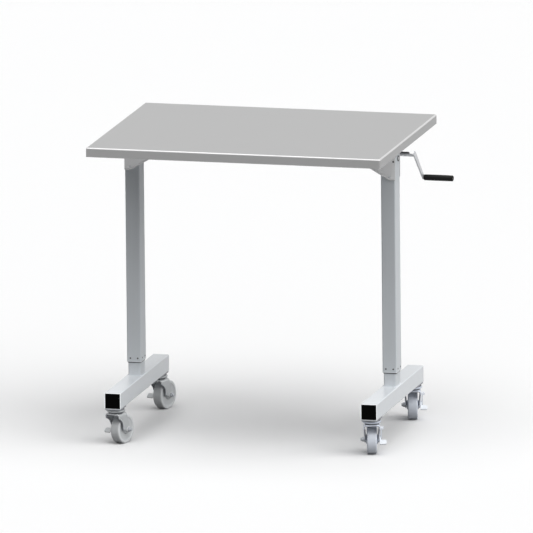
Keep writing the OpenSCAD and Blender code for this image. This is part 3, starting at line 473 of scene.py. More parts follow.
def make_tube(name, way, radius, sides):
    """Round bar along a line of points, closed at both ends."""
    line = bpy.data.curves.new(name, "CURVE")
    line.dimensions = "3D"
    line.bevel_depth = radius
    line.bevel_resolution = sides // 4
    line.use_fill_caps = True
    spline = line.splines.new("POLY")
    spline.points.add(len(way) - 1)
    for spot, place in zip(spline.points, way):
        spot.co = (*place, 1.0)
    tube = bpy.data.objects.new(name, line)
    bpy.context.scene.collection.objects.link(tube)
    take(tube)
    bpy.ops.object.convert(target="MESH")
    tube = bpy.context.active_object
    bpy.ops.object.mode_set(mode="EDIT")
    close_up(WELD)
    return tube


def place_by(piece, matrix):
    piece.data.transform(matrix)
    if matrix.to_3x3().determinant() < 0:
        piece.data.flip_normals()
    piece.data.update()
    return piece


def copy_of(piece, name):
    twin = piece.copy()
    twin.data = piece.data.copy()
    twin.name = name
    bpy.context.scene.collection.objects.link(twin)
    return twin


def join(pieces, name):
    deselect()
    for piece in pieces:
        piece.select_set(True)
    bpy.context.view_layer.objects.active = pieces[0]
    bpy.ops.object.join()
    whole = bpy.context.active_object
    whole.name = name
    whole.data.name = name
    return whole


def modify(piece, kind, **settings):
    """Gives the piece a modifier and applies it."""
    take(piece)
    step = piece.modifiers.new("step", kind)
    for setting, value in settings.items():
        setattr(step, setting, value)
    bpy.ops.object.modifier_apply(modifier=step.name)
    return piece


def cut(piece, cutter, operation="DIFFERENCE"):
    modify(piece, "BOOLEAN", operation=operation, solver="EXACT", object=cutter)
    bpy.data.objects.remove(cutter)
    return piece


def thicken(piece, wall):
    """Gives a shell its wall, inwards."""
    return modify(piece, "SOLIDIFY", thickness=wall, offset=-1.0, use_even_offset=True)


def soften(piece, width=0.0005, segments=2, angle=32):
    """Rounds the sharp edges."""
    return modify(piece, "BEVEL", width=width, segments=segments, limit_method="ANGLE",
                  angle_limit=math.radians(angle), use_clamp_overlap=True)


def smooth(piece, angle=38):
    """Shades flats flat and rounds round."""
    take(piece)
    bpy.ops.object.shade_smooth_by_angle(angle=math.radians(angle))
    return modify(piece, "WEIGHTED_NORMAL", keep_sharp=True, weight=100)


def stand(piece, finish, *replaced):
    """Hands a finished piece its surface and the body of the nodes it stands for, and hides those nodes."""
    if not piece.data.materials:
        piece.data.materials.append(finish)
    else:
        piece.data.materials[0] = finish
    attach(piece, body_of(nodes[replaced[0]])[0])
    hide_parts(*replaced)
    return piece


def paint_faces(piece, finish, test):
    """Adds a surface and gives it to the faces that pass the test."""
    piece.data.materials.append(finish)
    index = len(piece.data.materials) - 1
    pick(piece, "FACE", test)
    piece.active_material_index = index
    bpy.ops.object.material_slot_assign()
    shut()


def arc_points(centre, radius, start, stop, count):
    """Points round a centre in equal steps, from one angle in degrees to another."""
    angles = [math.radians(start + (stop - start) * i / count) for i in range(count + 1)]
    return [(centre[0] + radius * math.cos(a), centre[1] + radius * math.sin(a)) for a in angles]


def both_ways(profile):
    """Profile of a turned piece with its mirror image about x = 0, closed on itself."""
    return profile + [(-x, r) for x, r in reversed(profile)] + [profile[0]]


def tangent_outline(first, first_r, second, second_r):
    """Outline round two circles with straight sides between them."""
    across, up = second[0] - first[0], second[1] - first[1]
    aim = math.degrees(math.atan2(up, across))
    open_angle = math.degrees(math.acos((first_r - second_r) / math.hypot(across, up)))
    return (arc_points(first, first_r, aim + open_angle, aim + 360 - open_angle, 20)
            + arc_points(second, second_r, aim - open_angle, aim + open_angle, 10))


def mirrored(sign):
    return Matrix.Diagonal((sign, 1, 1, 1))


def turn_to(way, place):
    """Matrix that takes the X axis to the given direction and the origin to the given place."""
    return Matrix.Translation(place) @ Vector(way).to_track_quat("X", "Z").to_matrix().to_4x4()


def to_side(x):
    """Matrix that stands an outline of (y, z) points on the plane at x, growing outwards."""
    return Matrix(((0, 0, 1, x), (1, 0, 0, 0), (0, 1, 0, 0), (0, 0, 0, 1)))


def to_front(y):
    """Matrix that stands an outline of (x, z) points on the plane at y, growing to the front."""
    return Matrix.Translation((0, y, 0)) @ Matrix.Rotation(math.pi / 2, 4, "X")


def leg_x(side):
    return TABLE_X + SIDES[side] * LEG_X


def hexagon(name, across, low, high):
    """Hexagon nut or head along X with its corners turned off at both ends."""
    radius = across / math.sqrt(3)
    drop = 0.15 * radius
    rise = drop * 0.55
    piece = start_rod(name, radius, low, high, sides=6)
    turning = turned("turning", [(low, 0), (low, radius - drop), (low + rise, radius * 1.01),
                                 (high - rise, radius * 1.01), (high, radius - drop), (high, 0)], 32)
    return cut(piece, turning, "INTERSECT")


def cad_copy(node, name):
    """Copy of a node's mesh with its loose triangles joined."""
    twin = copy_of(nodes[node], name)
    for key in list(twin.keys()):
        del twin[key]
    twin.parent = None
    take(twin)
    bpy.ops.object.mode_set(mode="EDIT")
    bpy.ops.mesh.select_all(action="SELECT")
    bpy.ops.mesh.remove_doubles(threshold=WELD)
    bpy.ops.mesh.dissolve_limited(angle_limit=math.radians(1.0))
    shut()
    return twin


# ---------------------------------------------------------------- top, brackets and fasteners

def make_table_top():
    """Sheet folded down on all four sides, with a hem turned in under its skirt."""
    top = start_box("folded_table_top", (TABLE_X - TOP_X, -TOP_Y, TOP_LOW), (TABLE_X + TOP_X, TOP_Y, TOP_HIGH))
    pick(top, "FACE", lambda mid, normal: normal.z < -STRAIGHT)
    bpy.ops.mesh.inset(thickness=HEM)
    bpy.ops.mesh.delete(type="FACE")
    shut()
    round_edges(top, BEND, 6, lambda mid, way: abs(way.z) > STRAIGHT or mid.z > TOP_HIGH - NEAR)
    near_x, near_y = TOP_X - BEND - 0.0005, TOP_Y - BEND - 0.0005
    round_edges(top, 0.0015, 4, lambda mid, way: mid.z < TOP_LOW + WELD and abs(way.z) < 0.1
                and (abs(mid.x - TABLE_X) > near_x or abs(mid.y) > near_y))
    thicken(top, TOP_SHEET)
    smooth(top)
    top.data.materials.append(top_sheet)
    # The upper bends get the lighter sheet: a painted highlight.
    paint_faces(top, bend_highlight_sheet, lambda mid, normal: mid.z > TOP_HIGH - BEND and 0.12 < normal.z < 0.995)
    stand(top, top_sheet, "table_top")


def make_channel(name, x):
    """Hat-shaped channel of folded strip, whose flanges are glued under the sheet."""
    sheet = 0.0012
    high, low = TOP_HIGH - TOP_SHEET - sheet / 2, TOP_LOW + sheet / 2
    web, flange, length = 0.022 - sheet / 2, 0.012, 0.3416
    profile = [(-web - flange, high), (-web, high), (-web, low), (web, low), (web, high), (web + flange, high)]
    piece = start_outline(name, [(x + across, -length, up) for across, up in profile])
    bpy.ops.mesh.select_all(action="SELECT")
    draw_out((0, 2 * length, 0))
    shut()
    round_edges(piece, 0.0022, 3, lambda mid, way: abs(way.y) > STRAIGHT and abs(mid.x - x) < web + 0.001)
    take(piece)
    bpy.ops.object.mode_set(mode="EDIT")
    close_up()
    return modify(piece, "SOLIDIFY", thickness=sheet, offset=0.0)


def make_stiffeners():
    channels = [make_channel("channel", TABLE_X + x)
                for x in (0.014 - LEG_X, 0.1343 - LEG_X, 0.0, LEG_X - 0.1343, LEG_X - 0.014)]
    stand(smooth(join(channels, "hat_channels")), zinc_sheet, "top_stiffeners")


def bent_sheet(name, low, high, radius, wall):
    """Sheet bent down along X at both sides, open below and at its ends."""
    shell = start_box(name, low, high)
    drop_faces(shell, lambda mid, normal: normal.z < -STRAIGHT or abs(normal.x) > STRAIGHT)
    round_edges(shell, radius, 4, lambda mid, way: abs(way.x) > STRAIGHT and mid.z > high[Z] - 0.001)
    return thicken(shell, wall)


def make_tie_channel():
    run, half, depth = 0.3768, 0.025, 0.012
    shell = bent_sheet("tie_channel_sheet", (TABLE_X - run, -half, BRACKET_LOW - depth),
                       (TABLE_X + run, half, BRACKET_LOW), 0.0035, TIE_SHEET)
    stand(smooth(soften(shell, 0.0004, 2)), zinc_sheet, "tie_channel")


def make_bracket(side):
    """Bracket bent from one sheet, with a bead rolled along the lower edges of both cheeks."""
    slope, round_r, flat, bead, over = math.radians(30.0), 0.020, 0.013, 0.0025, 0.001
    centre = (flat, round_r - BRACKET_DROP)
    knee = (centre[0] + round_r * math.sin(slope), centre[1] - round_r * math.cos(slope))
    length = knee[0] - knee[1] / math.tan(slope)
    shell = bent_sheet("bent", (0, -BRACKET_Y, -BRACKET_DROP), (length, BRACKET_Y, 0), 0.0045, BRACKET_SHEET)
    outline = plate("outline", [(-over, over), (-over, -BRACKET_DROP)] + arc_points(centre, round_r, 270, 300, 8)
                    + [(length + over / math.tan(slope), over)], 3 * BRACKET_Y)
    cut(shell, place_by(outline, to_front(1.5 * BRACKET_Y)), "INTERSECT")
    soften(shell, 0.0004, 2)
    edge = [(0.0004, bead - BRACKET_DROP)] + arc_points(centre, round_r - bead, 270, 300, 8)
    start = edge[-1]
    run = -start[1] / math.sin(slope) - 2 * bead
    edge.append((start[0] + run * math.cos(slope), start[1] + run * math.sin(slope)))
    beads = [make_tube("bead", [(u, y * (BRACKET_Y - BRACKET_SHEET + bead), v) for u, v in edge], bead, 12)
             for y in (-1, 1)]
    whole = smooth(join([shell] + beads, f"pressed_{side}_bracket"))
    sign = SIDES[side]
    place_by(whole, Matrix.Translation((leg_x(side) + sign * BRACKET_FACE, 0, TOP_LOW)) @ mirrored(-sign))
    stand(whole, bracket_sheet, f"{side}_bracket")


def make_button_head():
    """Round screw head on x = 0 with a hexagon socket."""
    radius, height, socket = 0.003, 0.0016, 0.0022
    head = turned("button", [(0, 0), (0, radius * 0.96), (height * 0.25, radius), (height * 0.62, radius * 0.88),
                             (height * 0.9, radius * 0.6), (height, radius * 0.42), (height, 0)], 24)
    tool = start_rod("tool", socket / math.sqrt(3), height * 0.35, height * 2, sides=6)
    return smooth(cut(head, tool), 30)


def make_cross_head():
    """Flat raised screw head on x = 0 with a cross recess."""
    radius, height = 0.0025, 0.001
    head = turned("head", [(0, 0), (0, radius), (height * 0.45, radius), (height * 0.85, radius * 0.86),
                           (height, radius * 0.6), (height, 0)], 24)
    for y, z in ((radius * 0.62, radius * 0.17), (radius * 0.17, radius * 0.62)):
        cut(head, start_box("tool", (height * 0.4, -y, -z), (height * 2, y, z)))
    return smooth(head, 30)


def make_bracket_screws():
    """Dull screws low on the cheeks, dark ones above them, and the bolts of the tie channel."""
    button = make_button_head()
    dull, dark, bolts = [], [], []
    for side, sign in SIDES.items():
        outer = leg_x(side) + sign * BRACKET_FACE
        for y in (-1, 1):
            for inward, rise, group in ((0.0175, 0.0105, dull), (0.005, 0.058, dark)):
                place = (outer - sign * inward, y * BRACKET_Y, TOP_LOW - BRACKET_DROP + rise)
                group.append(place_by(copy_of(button, "screw"), turn_to((0, y, 0), place)))
            for inward in (0.1343, 0.0325):
                bolt = hexagon("bolt", 0.010, 0, 0.004)
                washer = turned("washer", [(0, 0), (0, 0.0062), (0.0007, 0.0062), (0.0007, 0)], 24)
                place = (leg_x(side) - sign * inward, y * 0.013, BRACKET_LOW - TIE_SHEET)
                bolts.append(place_by(smooth(join([bolt, washer], "bolt"), 30), turn_to((0, 0, -1), place)))
    bpy.data.objects.remove(button)
    stand(join(dark, "dark_bracket_screws"), dark_screw, "bracket_screws")
    stand(join(dull, "dull_bracket_screws"), axle_zinc, "bracket_screws")
    stand(join(bolts, "tie_channel_bolts"), zinc_sheet, "bracket_screws")


# ---------------------------------------------------------------- legs and base

def upright_box(name, x, half_x, half_y, low, high, corner, segments=5):
    """Upright block on a leg's middle with rounded corners."""
    block = start_box(name, (x - half_x, -half_y, low), (x + half_x, half_y, high))
    round_edges(block, corner, segments, along(Z))
    return block


def make_tube_shell(name, x, half_x, half_y, low, high, wall):
    """Upright oblong tube with round corners, open at both ends."""
    shell = start_box(name, (x - half_x, -half_y, low), (x + half_x, half_y, high))
    drop_faces(shell, along(Z))
    round_edges(shell, TUBE_CORNER, 5, along(Z))
    return thicken(shell, wall)


def make_upper_column(side):
    x = leg_x(side)
    column = make_tube_shell(f"{side}_outer_tube", x, OUTER_X, OUTER_Y, LIP_TOP, BRACKET_LOW, OUTER_WALL)
    cut(column, start_rod("drill", 0.007, x - 0.05, x + 0.05, sides=40, centre=(DRIVE_Y, DRIVE_Z)))
    stand(smooth(column), column_paint, f"{side}_upper_column")


def make_lower_column(side):
    column = make_tube_shell(f"{side}_inner_tube", leg_x(side), INNER_X, INNER_Y, BEAM_TOP, INNER_TOP, INNER_WALL)
    stand(smooth(column), column_paint, f"{side}_lower_column")


def make_glide_bush(side):
    """Lip round the mouth of the outer tube, with a sleeve up inside it and a dark wiper below, which is a painted
    shadow line under the lip.
    """
    x = leg_x(side)
    lip = upright_box(f"{side}_glide_lip", x, OUTER_X, OUTER_Y, LIP_Z, LIP_TOP, TUBE_CORNER)
    round_edges(lip, 0.0009, 3, lambda mid, way: mid.z < LIP_Z + NEAR)
    shadow_wiper = upright_box("shadow_wiper", x, 0.0206, 0.0281, LIP_Z - 0.0026, LIP_Z + 0.001, 0.0046)
    round_edges(shadow_wiper, 0.0004, 2, lambda mid, way: mid.z < LIP_Z - 0.0025)
    cut(lip, shadow_wiper, "UNION")
    cut(lip, upright_box("sleeve", x, 0.0204, 0.0279, LIP_TOP - 0.001, LIP_TOP + 0.060, 0.0022, 3), "UNION")
    cut(lip, upright_box("bore", x, 0.01965, 0.02715, LIP_Z - 0.01, LIP_TOP + 0.08, TUBE_CORNER))
    lip.data.materials.clear()
    lip.data.materials.append(lip_paint)
    # The wiper's faces under the lip are black: a painted shadow line.
    paint_faces(lip, black_bush, lambda mid, normal: mid.z < LIP_Z - NEAR)
    stand(smooth(lip), lip_paint, f"{side}_glide_bush")


def make_glide_screws():
    head = make_cross_head()
    high = LIP_TOP + 0.008
    screws = []
    for side in SIDES:
        for sign in (-1, 1):
            for along in (-1, 1):
                for way, place in (((0, sign, 0), (leg_x(side) + along * 0.0114, sign * OUTER_Y, high)),
                                   ((sign, 0, 0), (leg_x(side) + sign * OUTER_X, along * 0.0155, high))):
                    screws.append(place_by(copy_of(head, "screw"), turn_to(way, place)))
    bpy.data.objects.remove(head)
    stand(join(screws, "glide_bush_screws"), dark_screw, "glide_screws")


def make_beam(side):
    """Square tube whose cut rims at its ends are painted bright on the top and sides: a painted highlight."""
    x = leg_x(side)
    beam = start_box(f"{side}_foot_beam", (x - BEAM_HALF, -BEAM_REACH, BEAM_LOW), (x + BEAM_HALF, BEAM_REACH, BEAM_TOP))
    drop_faces(beam, along(Y))
    round_edges(beam, 0.003, 5, along(Y))
    thicken(beam, BEAM_WALL)
    beam.data.materials.append(base_paint)
    # Painted highlight: the end rims are bright, except along the bottom, which keeps the coat.
    paint_faces(beam, rim_highlight, lambda mid, normal: abs(normal.y) > STRAIGHT and mid.z > BEAM_LOW + 0.0025)
    stand(smooth(beam), base_paint, f"{side}_base_beam")


def make_caps(side):
    """Moulded caps: a face with soft edges and a hollow skirt behind it."""
    x, half, middle = leg_x(side), 0.02325, (BEAM_LOW + BEAM_TOP) / 2
    caps = []
    for end in ENDS.values():
        face, back = end * 0.2915, end * 0.2755
        cap = start_box("cap", (x - half, min(face, back), middle - half), (x + half, max(face, back), middle + half))
        drop_faces(cap, lambda mid, normal: normal.y * end < -STRAIGHT)
        round_edges(cap, 0.0009, 3, along(Y))
        round_edges(cap, 0.0007, 3, lambda mid, way: abs(mid.y - face) < NEAR)
        caps.append(thicken(cap, 0.0025))
    stand(smooth(join(caps, f"{side}_push_in_caps")), black_cap, f"{side}_beam_caps")


# ---------------------------------------------------------------- casters

CROWN_Z, CROWN_HALF, FORK_T = 0.097, 0.026, 0.003
FORK_TOP = CROWN_Z + FORK_T
RACE_Z = FORK_TOP + 0.0042
HUB_HALF = 0.018
BOSS_IN = HUB_HALF + 0.0004
BOSS_OUT = BOSS_IN + FORK_T + 0.0008
BOSS_R, BORE_R = 0.010, 0.0048
LEAN = math.atan((CROWN_HALF - BOSS_OUT) / (CROWN_Z - AXLE_Z))
LEAN_DEG = math.degrees(LEAN)
BOSS_FACE = BOSS_OUT + BOSS_R * math.tan(LEAN)
TOES = {"left": -18.0, "right": 14.4}


def leg_at(z):
    """Outer face of the fork's leaning leg at a height."""
    return BOSS_OUT + (z - AXLE_Z) * math.tan(LEAN)


# Fork sheet: bend of its shoulders in the front view, and front edge and wheel arch in the side view
SHOULDER = 0.009
SHOULDER_AT = (leg_at(FORK_TOP - SHOULDER) - SHOULDER / math.cos(LEAN), FORK_TOP - SHOULDER)
FORK_FRONT, FORK_BACK, FORK_CORNER = -0.022, 0.024, 0.012
ARCH_R = 0.0375
ARCH_AT = (TRAIL - 0.026 - ARCH_R, AXLE_Z + 0.005)


def swivel_place(side, end):
    return Matrix.Translation((leg_x(side), SWIVEL_Y * ENDS[end], 0))


def caster_place(side, end):
    return swivel_place(side, end) @ Matrix.Rotation(math.radians(TOES[side]), 4, "Z")


def axle_place(side, end):
    return caster_place(side, end) @ Matrix.Translation((0, TRAIL, AXLE_Z))


def upright(piece):
    """Turns a piece made along X so that it stands along Z."""
    return place_by(piece, Matrix.Rotation(-math.pi / 2, 4, "Y"))


def make_caster_plate(side, end):
    """Plate under the beam, with the outer ball race below it. The plate is darker grey all over: painted shade."""
    thick, rim, neck, bore, curl, sunk = 0.003, 0.029, 0.0262, 0.010, 0.0025, 0.0001
    low, high = RACE_Z, BEAM_LOW - thick + sunk
    base = start_box("plate", (-0.025, -0.036, BEAM_LOW - thick), (0.025, 0.036, BEAM_LOW))
    round_edges(base, 0.006, 5, along(Z))
    soften(base, 0.0005, 2)
    profile = [(high, bore), (high, neck), (high - 0.0030, neck), (high - 0.0033, neck + 0.0006),
               (high - 0.0038, rim - 0.0006), (high - 0.0046, rim)]
    profile += [(low + curl + up, rim - curl + out) for out, up in arc_points((0, 0), curl, 0, -90, 6)]
    profile += [(low + 0.0006, rim - 0.0032), (low + curl, rim - 0.0036), (low + curl, bore)]
    race = upright(turned("race", profile + [profile[0]], 64))
    race.data.materials.append(race_zinc_lit_by_side[side])
    base.data.materials.append(race_zinc_lit_by_side[side])
    # The plate is painted darker all over: painted shade under the beam.
    paint_faces(base, painted_fork_shade, lambda mid, normal: True)
    # Painted shade on the race's neck under the plate and on its inner faces.
    paint_faces(race, painted_race_shade, lambda mid, normal: mid.z > high - 0.0031 or math.hypot(mid.x, mid.y) < rim - 0.0033)
    return place_by(smooth(join([base, race], "plate_and_race")), swivel_place(side, end))


def make_king_pin(side, end):
    head = CROWN_Z - 0.0004
    profile = [(head - 0.004, 0), (head - 0.004, 0.0062), (head - 0.0034, 0.0076), (head - 0.0018, 0.009),
               (head, 0.009), (head, 0.005), (BEAM_LOW, 0.005), (BEAM_LOW, 0)]
    return place_by(smooth(upright(turned("pin", profile, 40)), 30), caster_place(side, end))


def make_fork_sheet():
    """Fork of a caster at the origin: a sheet bent round its two shoulders, with the wheel arch cut out of it."""
    low, over = AXLE_Z - BOSS_R, 0.001
    half = (arc_points(SHOULDER_AT, SHOULDER, 90, -LEAN_DEG, 10)
            + [(leg_at(low), low), (leg_at(low) - FORK_T / math.cos(LEAN), low)]
            + arc_points(SHOULDER_AT, SHOULDER - FORK_T, -LEAN_DEG, 90, 8))
    sheet = place_by(plate("section", half + [(-x, z) for x, z in reversed(half)], 0.12), to_front(0.08))
    start = math.degrees(math.acos((FORK_FRONT - ARCH_AT[0]) / ARCH_R)) - 4.0
    toe = ARCH_AT[0] + ARCH_R
    brow = ARCH_AT[1] + ARCH_R * math.sin(math.radians(start + 8)) + 0.004
    side = [(FORK_FRONT, FORK_TOP + over), (FORK_FRONT, brow)] + arc_points(ARCH_AT, ARCH_R, start, 0, 16)
    side += [(toe + 0.0006, ARCH_AT[1] - 0.0014), (toe + 0.002, ARCH_AT[1] - 0.0026)]
    side += arc_points((TRAIL, AXLE_Z), BOSS_R, 216, 378, 20)
    side += [(FORK_BACK, FORK_TOP - SHOULDER), (FORK_BACK, FORK_TOP + over)]
    cut(sheet, place_by(plate("side", side, 0.08), to_side(-0.04)), "INTERSECT")
    inner, wide = CROWN_HALF - FORK_CORNER, CROWN_HALF + 0.002
    plan = (arc_points((-inner, FORK_FRONT + FORK_CORNER), FORK_CORNER, 180, 270, 8)
            + arc_points((inner, FORK_FRONT + FORK_CORNER), FORK_CORNER, 270, 360, 8)
            + [(wide, 0.0), (wide, 0.06), (-wide, 0.06), (-wide, 0.0)])
    cut(sheet, plate("plan", plan, 0.2), "INTERSECT")
    return soften(sheet, 0.0006, 2, 40)


def make_rolled_edge(finish):
    """Round edge rolled inwards along the front of the fork, from one toe over the crown to the other. Its inner half
    below the crown is painted darker: painted shade.
    """
    radius, inward, steps = 0.0028, 0.0010, 24
    low, top = AXLE_Z + 0.004, FORK_TOP - FORK_T / 2 - inward
    middle = FORK_T / 2 / math.cos(LEAN) + inward
    heights = [low + i * (SHOULDER_AT[1] - low) / steps for i in range(steps)]
    half = ([(leg_at(z) - middle, z) for z in heights]
            + arc_points(SHOULDER_AT, SHOULDER - FORK_T / 2 - inward, -LEAN_DEG, 90, 10)
            + [(SHOULDER_AT[0] * share, top) for share in (0.75, 0.5, 0.25)])
    way = []
    for x, z in half + [(0.0, top)] + [(-x, z) for x, z in reversed(half)]:
        # The front edge goes back round the corners of the crown, and further back along the wheel arch
        past = abs(x) - (CROWN_HALF - FORK_CORNER)
        y = FORK_FRONT + radius / 2
        if past > 0:
            y += FORK_CORNER - math.sqrt(FORK_CORNER ** 2 - min(past, FORK_CORNER - NEAR) ** 2)
        if z < ARCH_AT[1] + ARCH_R:
            y = max(y, ARCH_AT[0] + math.sqrt(ARCH_R ** 2 - max(z - ARCH_AT[1], 0.0) ** 2) + radius / 2)
        way.append((x, y, z))
    edge = make_tube("rolled_edge", way, radius, 16)
    edge.data.materials.append(finish)
    # Painted shade on the inward-facing half of the rolled edge.
    paint_faces(edge, painted_fork_shade, lambda mid, normal: mid.z < CROWN_Z - 0.003 and normal.x * mid.x < 0.2 * abs(mid.x))
    return edge


def make_fork(side, end):
    """Fork with its two axle bosses and the inner ball race on its crown."""
    finish = fork_zinc_lit_by_side[side]
    sheet = make_fork_sheet()
    sheet.data.materials.append(finish)
    cut(sheet, start_rod("drill", BORE_R, -0.04, 0.04, centre=(TRAIL, AXLE_Z)))
    parts = [sheet]
    for sign in (-1, 1):
        boss = turned("boss", [(BOSS_IN, BORE_R), (BOSS_IN, 0.0095), (BOSS_IN + 0.0005, BOSS_R),
                               (BOSS_FACE - 0.0008, BOSS_R), (BOSS_FACE, 0.0092), (BOSS_FACE, BORE_R),
                               (BOSS_IN, BORE_R)], 40)
        parts.append(place_by(boss, Matrix.Translation((0, TRAIL, AXLE_Z)) @ mirrored(sign)))
    parts.append(make_rolled_edge(finish))
    low, top = CROWN_Z + 0.0015, RACE_Z - 0.0005
    ring = [(low, 0.0215), (top - 0.0008, 0.0220), (top, 0.0212), (top, 0.0188), (top - 0.0008, 0.0180), (low, 0.0180),
            (low, 0.0215)]
    parts.append(upright(turned("ring", ring, 64)))
    piece = smooth(join(parts, f"{end}_{side}_pressed_fork"))
    # Painted shade on the top of the inner race ring, in the gap under the outer race.
    paint_faces(piece, painted_race_shade, lambda mid, normal: mid.z > FORK_TOP + 0.0003)
    # Painted shade on the legs' inner faces and under the crown.
    paint_faces(piece, painted_fork_shade, lambda mid, normal: (mid.z < CROWN_Z + 0.0004 and abs(mid.x) > 0.0205
                                                         and normal.x * mid.x < -0.5 * abs(mid.x))
                or (normal.z < -0.4 and mid.z > 0.080))
    stand(place_by(piece, caster_place(side, end)), finish, f"{end}_{side}_fork")


def make_axle(side, end):
    """Axle bolt with its head on the brake's side and a lock nut on the other."""
    head, nut = BOSS_FACE + 0.005, -BOSS_FACE - 0.008
    shank_r, collar_r = 0.00475, 0.0049
    bolt = hexagon("head", 0.013, head, head + 0.003)
    shank = turned("shank", [(nut - 0.0035, 0), (nut - 0.0035, 0.0038), (nut - 0.0027, shank_r), (head, shank_r),
                             (head, 0)], 32)
    lock = hexagon("nut", 0.013, nut + 0.0018, -BOSS_FACE)
    collar = turned("collar", [(nut + 0.002, collar_r), (nut + 0.002, 0.0062), (nut + 0.0008, 0.0060), (nut, 0.0054),
                               (nut, collar_r), (nut + 0.002, collar_r)], 32)
    piece = smooth(join([bolt, shank, lock, collar], f"{end}_{side}_axle_bolt"), 30)
    place_by(piece, caster_place(side, end) @ mirrored(SIDES[side]) @ Matrix.Translation((0, TRAIL, AXLE_Z)))
    stand(piece, axle_zinc, f"{end}_{side}_axle")


def make_wheel(side, end):
    """Rubber tread with round shoulders, on a moulded core with a hub and a shallow dish."""
    half, rim, shoulder = 0.015, AXLE_Z, 0.004
    tread = [(half - shoulder + across, rim - shoulder + out)
             for out, across in arc_points((0, 0), shoulder, 0, 90, 6)]
    tread += [(half, 0.0365), (half - 0.0006, 0.0357), (0.012, 0.0352)]
    core = [(0.0146, 0.0357), (0.0141, 0.0350), (0.0129, 0.0325), (0.0129, 0.0165), (0.0140, 0.0150), (0.0172, 0.0140),
            (HUB_HALF, 0.0130), (HUB_HALF, 0.0082), (0.0172, 0.0076), (0.0172, BORE_R)]
    for part, profile, finish in (("tread", tread, wheel_tread_lit_by_side[side]), ("core", core, wheel_core_lit_by_side[side])):
        piece = smooth(turned(f"{end}_{side}_wheel_{part}", both_ways(profile), 72), 30)
        stand(place_by(piece, axle_place(side, end)), finish, f"{end}_{side}_wheel")


def make_pedal(side, end):
    """Brake pedal: a ring round the axle, a ribbed tab to step on and a lug to let it off."""
    thick, reach, drop = 0.004, 0.027, 0.004
    inner = BOSS_FACE + 0.0005
    tab_w, tab_l, tab_t = 0.017, 0.018, 0.003
    axle = (TRAIL, AXLE_Z)
    tip = (TRAIL - reach + tab_l / 2, AXLE_Z - drop)
    piece = place_by(plate("arm", tangent_outline(axle, 0.011, tip, 0.0055), thick), to_side(inner))
    tilt = Matrix.Translation((inner, TRAIL - reach, AXLE_Z - drop)) @ Matrix.Rotation(math.radians(35), 4, "X")
    tab = start_box("tab", (0, -tab_l / 2, -tab_t / 2), (thick + tab_w, tab_l / 2, tab_t / 2))
    round_edges(tab, 0.005, 5, lambda mid, way: abs(way.z) > STRAIGHT and mid.x > thick)
    place_by(tab, tilt)
    lug_x = inner + thick - 0.0005
    lug = (TRAIL - 0.011, AXLE_Z + 0.037)
    lever = plate("lever", tangent_outline((TRAIL, AXLE_Z + 0.0045), 0.0065, lug, 0.0045), 0.0034)
    place_by(lever, to_side(lug_x))
    cut(lever, start_rod("room", 0.0080, 0, 0.05, sides=40, centre=axle))
    knob = turned("knob", [(-0.0015, 0), (-0.0015, 0.0046), (-0.0009, 0.0053), (0.0009, 0.0053), (0.0015, 0.0046),
                           (0.0015, 0)], 32)
    place_by(knob, turn_to((0, 1, 0), (lug_x + 0.0048, *lug)))
    for other in (tab, lever, knob):
        cut(piece, other, "UNION")
    cut(piece, start_rod("drill", BORE_R, 0, 0.05, centre=axle))
    soften(piece, 0.0005, 2, 40)
    parts = [piece]
    for step in range(4):
        y = -0.0055 + step * 0.0037
        rib = start_box("rib", (thick + 0.002, y - 0.0005, tab_t / 2 - 0.0003),
                        (thick + tab_w - 0.002, y + 0.0005, tab_t / 2 + 0.0006))
        parts.append(place_by(soften(rib, 0.0003, 2), tilt))
    piece = smooth(join(parts, f"{end}_{side}_brake_pedal"))
    place_by(piece, caster_place(side, end) @ mirrored(SIDES[side]))
    stand(piece, pedal_paint_lit_by_side[side], f"{end}_{side}_pedal")


def make_casters(side):
    plates = [make_caster_plate(side, end) for end in ENDS]
    stand(join(plates, f"{side}_caster_races"), race_zinc_lit_by_side[side], f"{side}_caster_plates")
    pins = [make_king_pin(side, end) for end in ENDS]
    stand(join(pins, f"{side}_swivel_pins"), zinc_bright, f"{side}_king_pins")
    for end in ENDS:
        make_fork(side, end)
        make_axle(side, end)
        make_wheel(side, end)
        make_pedal(side, end)


# ---------------------------------------------------------------- crank and drive

ARM_X, ARM_T, CRANK_R = 0.4629, 0.004, 0.138
SQUARE_END, SQUARE_LEN, SQUARE_HALF = 0.448, 0.028, 0.0053
SQUARE_START = SQUARE_END - SQUARE_LEN
FRAME_X = 0.2083
CRANK_PLACE = Matrix.Translation((TABLE_X, CRANK_Y, CRANK_Z)) @ Matrix.Rotation(math.radians(48.7), 4, "X")


def make_crank_shaft():
    """Round shaft with its bevelled ends, and the flatted square end outside the bracket."""
    inner, radius, bevel = FRAME_X - 0.011, 0.006, 0.0007
    shaft = turned("crank_drive_shaft", [(inner, 0), (inner, radius - bevel), (inner + bevel, radius),
                                         (SQUARE_START - bevel, radius), (SQUARE_START, radius - bevel),
                                         (SQUARE_START, 0)], 40)
    square = start_box("crank_square_end", (SQUARE_START - 0.001, ARM_T - SQUARE_HALF, -SQUARE_HALF),
                       (SQUARE_END, SQUARE_HALF, SQUARE_HALF))
    soften(square, 0.0006, 3)
    for piece, finish in ((shaft, machined), (square, ground_end)):
        stand(place_by(smooth(piece, 30), CRANK_PLACE), finish, "crank_shaft")


